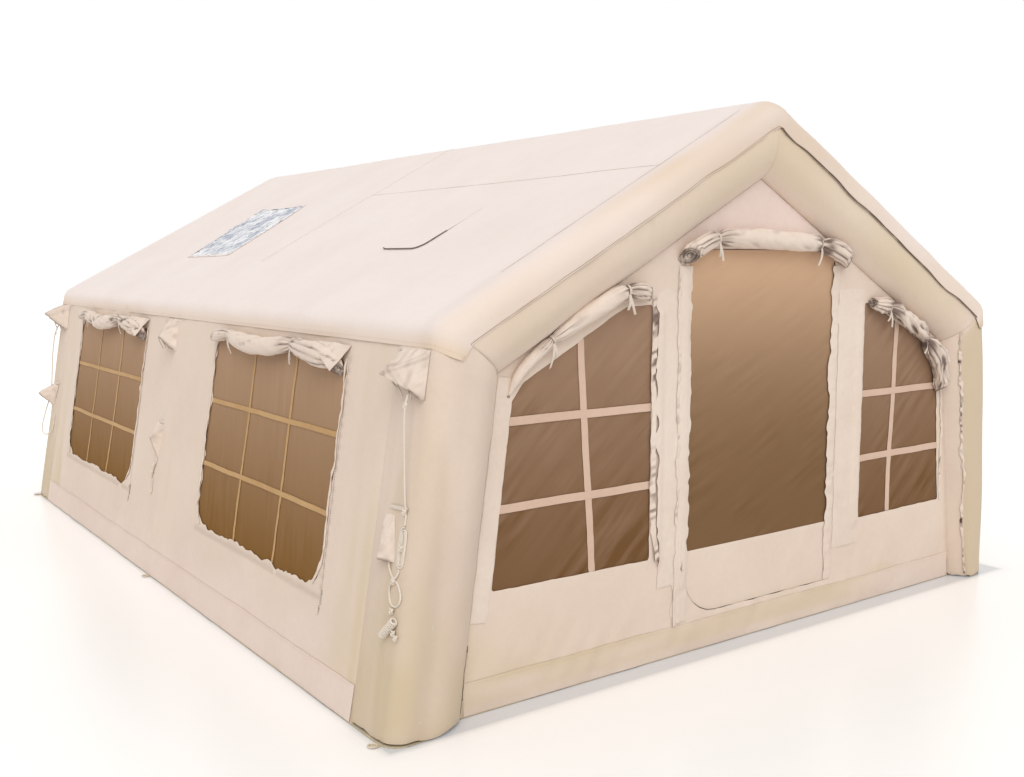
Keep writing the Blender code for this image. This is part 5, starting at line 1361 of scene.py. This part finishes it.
# The upper flap's creases: both ends (across, down), and how far each stands up
FLAP_CREASES = [((0.42, 0.1), (0.05, 0.75), 0.006), ((-0.45, 0.12), (0.35, 0.5), 0.005),
                ((0.2, 0.35), (-0.45, 0.95), 0.007), ((0.45, 0.4), (0.1, 0.45), -0.004)]


def folded_flap(name, side, points, faces, seed, nodes, cuts, creases=()):
    """A patch of canvas folded over a webbing loop, crumpled and sewn to the wall along its upper edge."""
    shape = bmesh.new()
    verts = [shape.verts.new(p) for p in on_long_wall(side, points)]
    for face in faces:
        shape.faces.new([verts[i] for i in face])
    bmesh.ops.recalc_face_normals(shape, faces=shape.faces)
    bmesh.ops.subdivide_edges(shape, edges=shape.edges, cuts=cuts, use_grid_fill=True, smooth=0.0)
    bmesh.ops.triangulate(shape, faces=[f for f in shape.faces if len(f.verts) > 4])
    shape.normal_update()
    place = np.array([v.co for v in shape.verts])
    normal = np.array([v.normal for v in shape.verts])
    u, z = place[:, 1], place[:, 2]
    rub = 0.0045 * noise(u / 0.035, z / 0.035, seed) + 0.0025 * noise((u + z) / 0.012, (u - z) / 0.03, seed + 1)
    # Painted shade: dark blotches in the crumples, darker beside each raised crease, and dark on the faces that
    # turn downwards
    dark = 0.22 * np.clip(noise(u / 0.02, z / 0.04, seed + 2), 0, 1)
    for start, end, height in creases:
        near = off_line(u, z, [start, end])
        rub = rub + height * bump_at(near, 0, 0.008)
        dark = dark + 0.16 * bump_at(near, 0.008, 0.005) * (height > 0)
    out = (np.abs(place[:, 0]) - BASE_HALF_WIDTH) * math.cos(LEAN) + z * math.sin(LEAN)
    moved = place + normal * (rub * ease(out, 0.0, 0.012))[:, None]
    dark = dark + 0.7 * ease(-normal[:, 2], 0.25, 0.5) * ease(out, 0.004, 0.02)
    ids = {v: i for i, v in enumerate(shape.verts)}
    faces = [[ids[v] for v in f.verts] for f in shape.faces]
    shape.free()
    make_piece(name, [(moved, faces, place[:, 1:], 0.0, np.clip(dark, 0, 0.75))], COVER, nodes,
               ROLLED_CLOTH, 0.0)


def make_guy_flaps():
    tails, steps = [], np.linspace(0, 1, 9)[:, None]
    for part, (middle, lower_shares, tip) in FLAPS.items():
        def upper(across, down, out=0):
            return middle + across * 0.19, HEM_HEIGHT - 0.006 - down * 0.169, 0.0012 + out * 0.13
        creases = [(upper(*start)[:2], upper(*end)[:2], height) for start, end, height in FLAP_CREASES]
        high = [upper(*share) for share in FLAP_BASE + tip]
        low = [(middle + across * 0.13, 0.785 - down * 0.18, 0.0012 + out * 0.105)
               for across, down, out in lower_shares]
        high_faces = [(0, 1, 4), (1, 2, 4), (2, 3, 4), (3, 0, 4)]
        if part == "front":
            high_faces = [(0, 1, 5), (1, 4, 5), (1, 2, 4), (2, 3, 4), (3, 0, 5)]
        count = len(low) - 1
        low_faces = [(i, (i + 1) % count, count) for i in range(count)]
        for side_name, side in SIDES.items():
            node, seed = "guy_flap_" + side_name + "_" + part, 700 + len(part) + side
            folded_flap(node + "_cloth", side, high, high_faces, seed, [node], 23, creases)
            node = "lower_" + node
            folded_flap(node + "_cloth", side, low, low_faces, seed + 5, [node] if side < 0 else [], 15)
            bar = [(middle + 0.03, 0.792 / math.cos(LEAN)), (middle - 0.085, 0.800 / math.cos(LEAN))]
            tails.append(tape(LONG_WALLS[side].plain(), bar, 0.014, 0.0045, 0.02))
            for k in range(4):
                top = upper(0.18 - 0.13 * k, 0.62, 0.50 - 0.05 * k)
                drop = 0.055 + 0.02 * math.sin(3.1 * k + middle)
                way = np.array(top) + np.hstack([0.010 * np.sin(4 * steps + k), -drop * steps, -0.03 * steps])
                tails.append(laid_rope(on_long_wall(side, dense_line(way, 0.004)), 0.0022, sides=6))
    make_piece("guy_flap_webbing", tails, WEBBING, thickness=TAPE_CLOTH)


# Rows of stitches and zip teeth, repeated along paths by one tree

def repeat_tree(name, kind, **inputs):
    """Sets a small shape along every edge path, turned to follow it."""
    tree = bpy.data.node_groups.new(name, "GeometryNodeTree")
    add, sockets = partial(add_node, tree), {}
    tree.interface.new_socket("Geometry", in_out="INPUT", socket_type="NodeSocketGeometry")
    for label, value in (("Spacing", 0.012), ("Length", 0.007), ("Width", 0.002), ("Height", 0.002)):
        socket = tree.interface.new_socket(label, in_out="INPUT", socket_type="NodeSocketFloat")
        socket.default_value = value
        sockets[label] = socket.identifier
    socket = tree.interface.new_socket("Material", in_out="INPUT", socket_type="NodeSocketMaterial")
    sockets["Material"] = socket.identifier
    tree.interface.new_socket("Geometry", in_out="OUTPUT", socket_type="NodeSocketGeometry")
    given = add("NodeGroupInput").outputs
    points = add("GeometryNodeCurveToPoints", mode="LENGTH", Length=given["Spacing"],
                 Curve=add("GeometryNodeMeshToCurve", Mesh=given["Geometry"]))
    turn = add("FunctionNodeAlignRotationToVector", axis="X", Vector=points.outputs["Tangent"])
    size = add("CombineXYZ", X=given["Length"], Y=given["Width"], Z=given["Height"])
    rows = add("GeometryNodeInstanceOnPoints", Points=points, Instance=add(kind, **inputs), Rotation=turn,
               Scale=size)
    dressed = add("GeometryNodeSetMaterial", Geometry=add("GeometryNodeRealizeInstances", Geometry=rows),
                  Material=given["Material"])
    add("NodeGroupOutput", i0=dressed)
    return tree, sockets


STITCH_TREE = repeat_tree("stitch_row", "GeometryNodeMeshIcoSphere", Radius=0.5, Subdivisions=1)
TOOTH_TREE = repeat_tree("zip_teeth_row", "GeometryNodeMeshCube", Size=(1, 1, 1))


def repeat_along(name, paths, tree_and_sockets, material, slot, **sizes):
    """One plain mesh of the shapes set along paths of places."""
    points, edges = [], []
    for path in paths:
        edges += [(len(points) + i, len(points) + i + 1) for i in range(len(path) - 1)]
        points += path.tolist()
    mesh = bpy.data.meshes.new(name + "_paths")
    mesh.from_pydata(points, edges, [])
    carrier = link_object(name + "_paths", mesh)
    tree, sockets = tree_and_sockets
    modifier = carrier.modifiers.new("rows", "NODES")
    modifier.node_group = tree
    for label, value in (("Material", material), *sizes.items()):
        modifier[sockets[label]] = value
    shown = carrier.evaluated_get(bpy.context.evaluated_depsgraph_get())
    made = link_object(name, bpy.data.meshes.new_from_object(shown))
    bpy.data.objects.remove(carrier, do_unlink=True)
    made.data.materials.clear()
    made.data.materials.append(material)
    made.data.shade_smooth()
    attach(made, "tent")


def path_on(at, outline, lift, step=0.02):
    line = spaced(outline, step)
    return at(line[:, 0], line[:, 1], lift)


def make_seams():
    rows = [path_on(at, [(0.010, 0.02 - FOOT), (0.010, FOOT - 0.02)], 0.0004) for at in SLEEVES.values()]
    rows += [path_on(FLY, [(-FLY_ACROSS + 0.02, t), (FLY_ACROSS - 0.02, t)], 0.0004)
             for t in (0.014 - HEM, HEM - 0.014)]
    rows += [path_on(at, [(-1.50, 0.12), (1.50, 0.12)], 0.0065) for at in GABLES.values()]
    zips = []
    for at in LONG_WALLS.values():
        rows.append(path_on(at, [(-2.24, 0.132), (2.24, 0.132)], 0.0055))
        for end in (-1, 1):
            far, near = end * SIDE_CENTRE + SIDE_HALF + 0.032, end * SIDE_CENTRE - SIDE_HALF
            rows.append(path_on(at, [(far - 1.20, SIDE_SILL - 0.032), (far - 0.12, SIDE_SILL - 0.032),
                                     (far, SIDE_SILL + 0.09), (far, SIDE_HEAD)], 0.0006))
            line = [(near - 0.016, SIDE_HEAD - 0.02), (near - 0.022, SIDE_SILL + 0.38),
                    (near - 0.033, SIDE_SILL - 0.07)]
            zips.append(path_on(at, dense_line(line, 0.02), 0.0008))
    # The real stitches are 4 mm long; they are drawn 9 mm long so that a row still reads as stitches
    repeat_along("seam_stitches", rows, STITCH_TREE, THREAD, "canvas", Spacing=0.014, Length=0.009, Width=0.0016,
                 Height=0.0012)
    door = spaced(door_outline(), 0.01)
    door = door[(door[:, 1] < 1.5) & (door[:, 0] < DOOR_RIGHT - 0.02)]
    zips.append(path_on(GABLES[-1], door, 0.0012, 0.01))
    # A number 5 coil has a tooth every 1.6 mm; here one stands every 10 mm
    repeat_along("zip_teeth", zips, TOOTH_TREE, ZIP_THREAD, "zip", Spacing=0.010, Length=0.0040, Width=0.0026,
                 Height=0.0008)

    def fine_line(at, path, width, seed):
        def ruffle(run, share):
            thin = 0.3 + 0.7 * np.abs(noise(run / 0.12, 0, seed))
            return share * width * (thin - 1) + 0.0015 * noise(run / 0.2, 0, seed + 1), 0
        return tape(at, path, width, 0.0006, 0.012, 2, ruffle, flip=False)
    roll, middle, lip = FLY_ACROSS - 0.195, -0.56 / math.cos(PITCH), 0.006 - FLY_ACROSS
    lines = [fine_line(FLY, [(-roll, -0.8 * WALL_START), (-roll, -0.12)], 0.0025, 901),
             fine_line(FLY, [(-0.10, -0.75 * WALL_START), (-0.10, 0.75 * WALL_START)], 0.0018, 903),
             fine_line(FLY, [(-0.10, middle), (-roll, middle)], 0.0018, 904),
             fine_line(FLY, [(lip, -WALL_START), (lip, WALL_START)], 0.004, 905),
             fine_line(SLEEVES[-1], [(0.003, -WALL_START), (0.003, WALL_START)], 0.004, 906)]
    # The knee lines are painted shade in the creases at the sleeves' knees
    for side in (-1, 1):
        for end, seed in ((-1, 907), (1, 908)):
            knee = [(0.0, side * (WALL_START - 0.05)), (0.20, side * (WALL_START - 0.02))]
            lines.append(fine_line(SLEEVES[end], knee, 0.005, seed))
    make_piece("seam_and_crease_shade_lines", lines, BROWN_THREAD, thickness=0.0005)
    lip = 0.003 - FLY_ACROSS
    # A thin dark strip along the fly's front edge on the right slope: a painted shadow line under the edge
    make_piece("fly_edge_painted_shadow", [fine_line(FLY, [(lip, 0.03), (lip, WALL_START - 0.05)], 0.010, 911)],
               DARK_THREAD, thickness=THIN_CLOTH)

    # The right column's seam is shirred, with irregular ties whose gaps are painted dark, a painted shade; the
    # left one frays at its foot
    make_piece("column_seam_shirring", [
        trim(SLEEVES[-1], [(0.096, WALL_START - 0.02), (0.100, WALL_START + 0.6), (0.096, FOOT - 0.02)],
             0.012, 0.001, 951, 0.014, 0.003, 0.006, 0.006, 0.8),
        trim(SLEEVES[-1], [(0.010, -FOOT + 0.02), (0.008, -FOOT + 0.30)],
             0.014, 0.001, 953, 0.010, 0.003, 0.006, 0.005, 0.12)], COVER, thickness=0.001)


def dress_hardware():
    for name, node in NODES.items():
        for mark, material in (("_slider", NICKEL), ("inflation_valve", ABS)):
            if mark in name:
                node.data.materials.clear()
                node.data.materials.append(material)


make_camera()
make_studio()
make_ropes()
make_shell()
make_windows()
make_rolls()
make_door()
make_roof_fittings()
make_tubes()
make_ground()
make_guy_flaps()
make_seams()
dress_hardware()
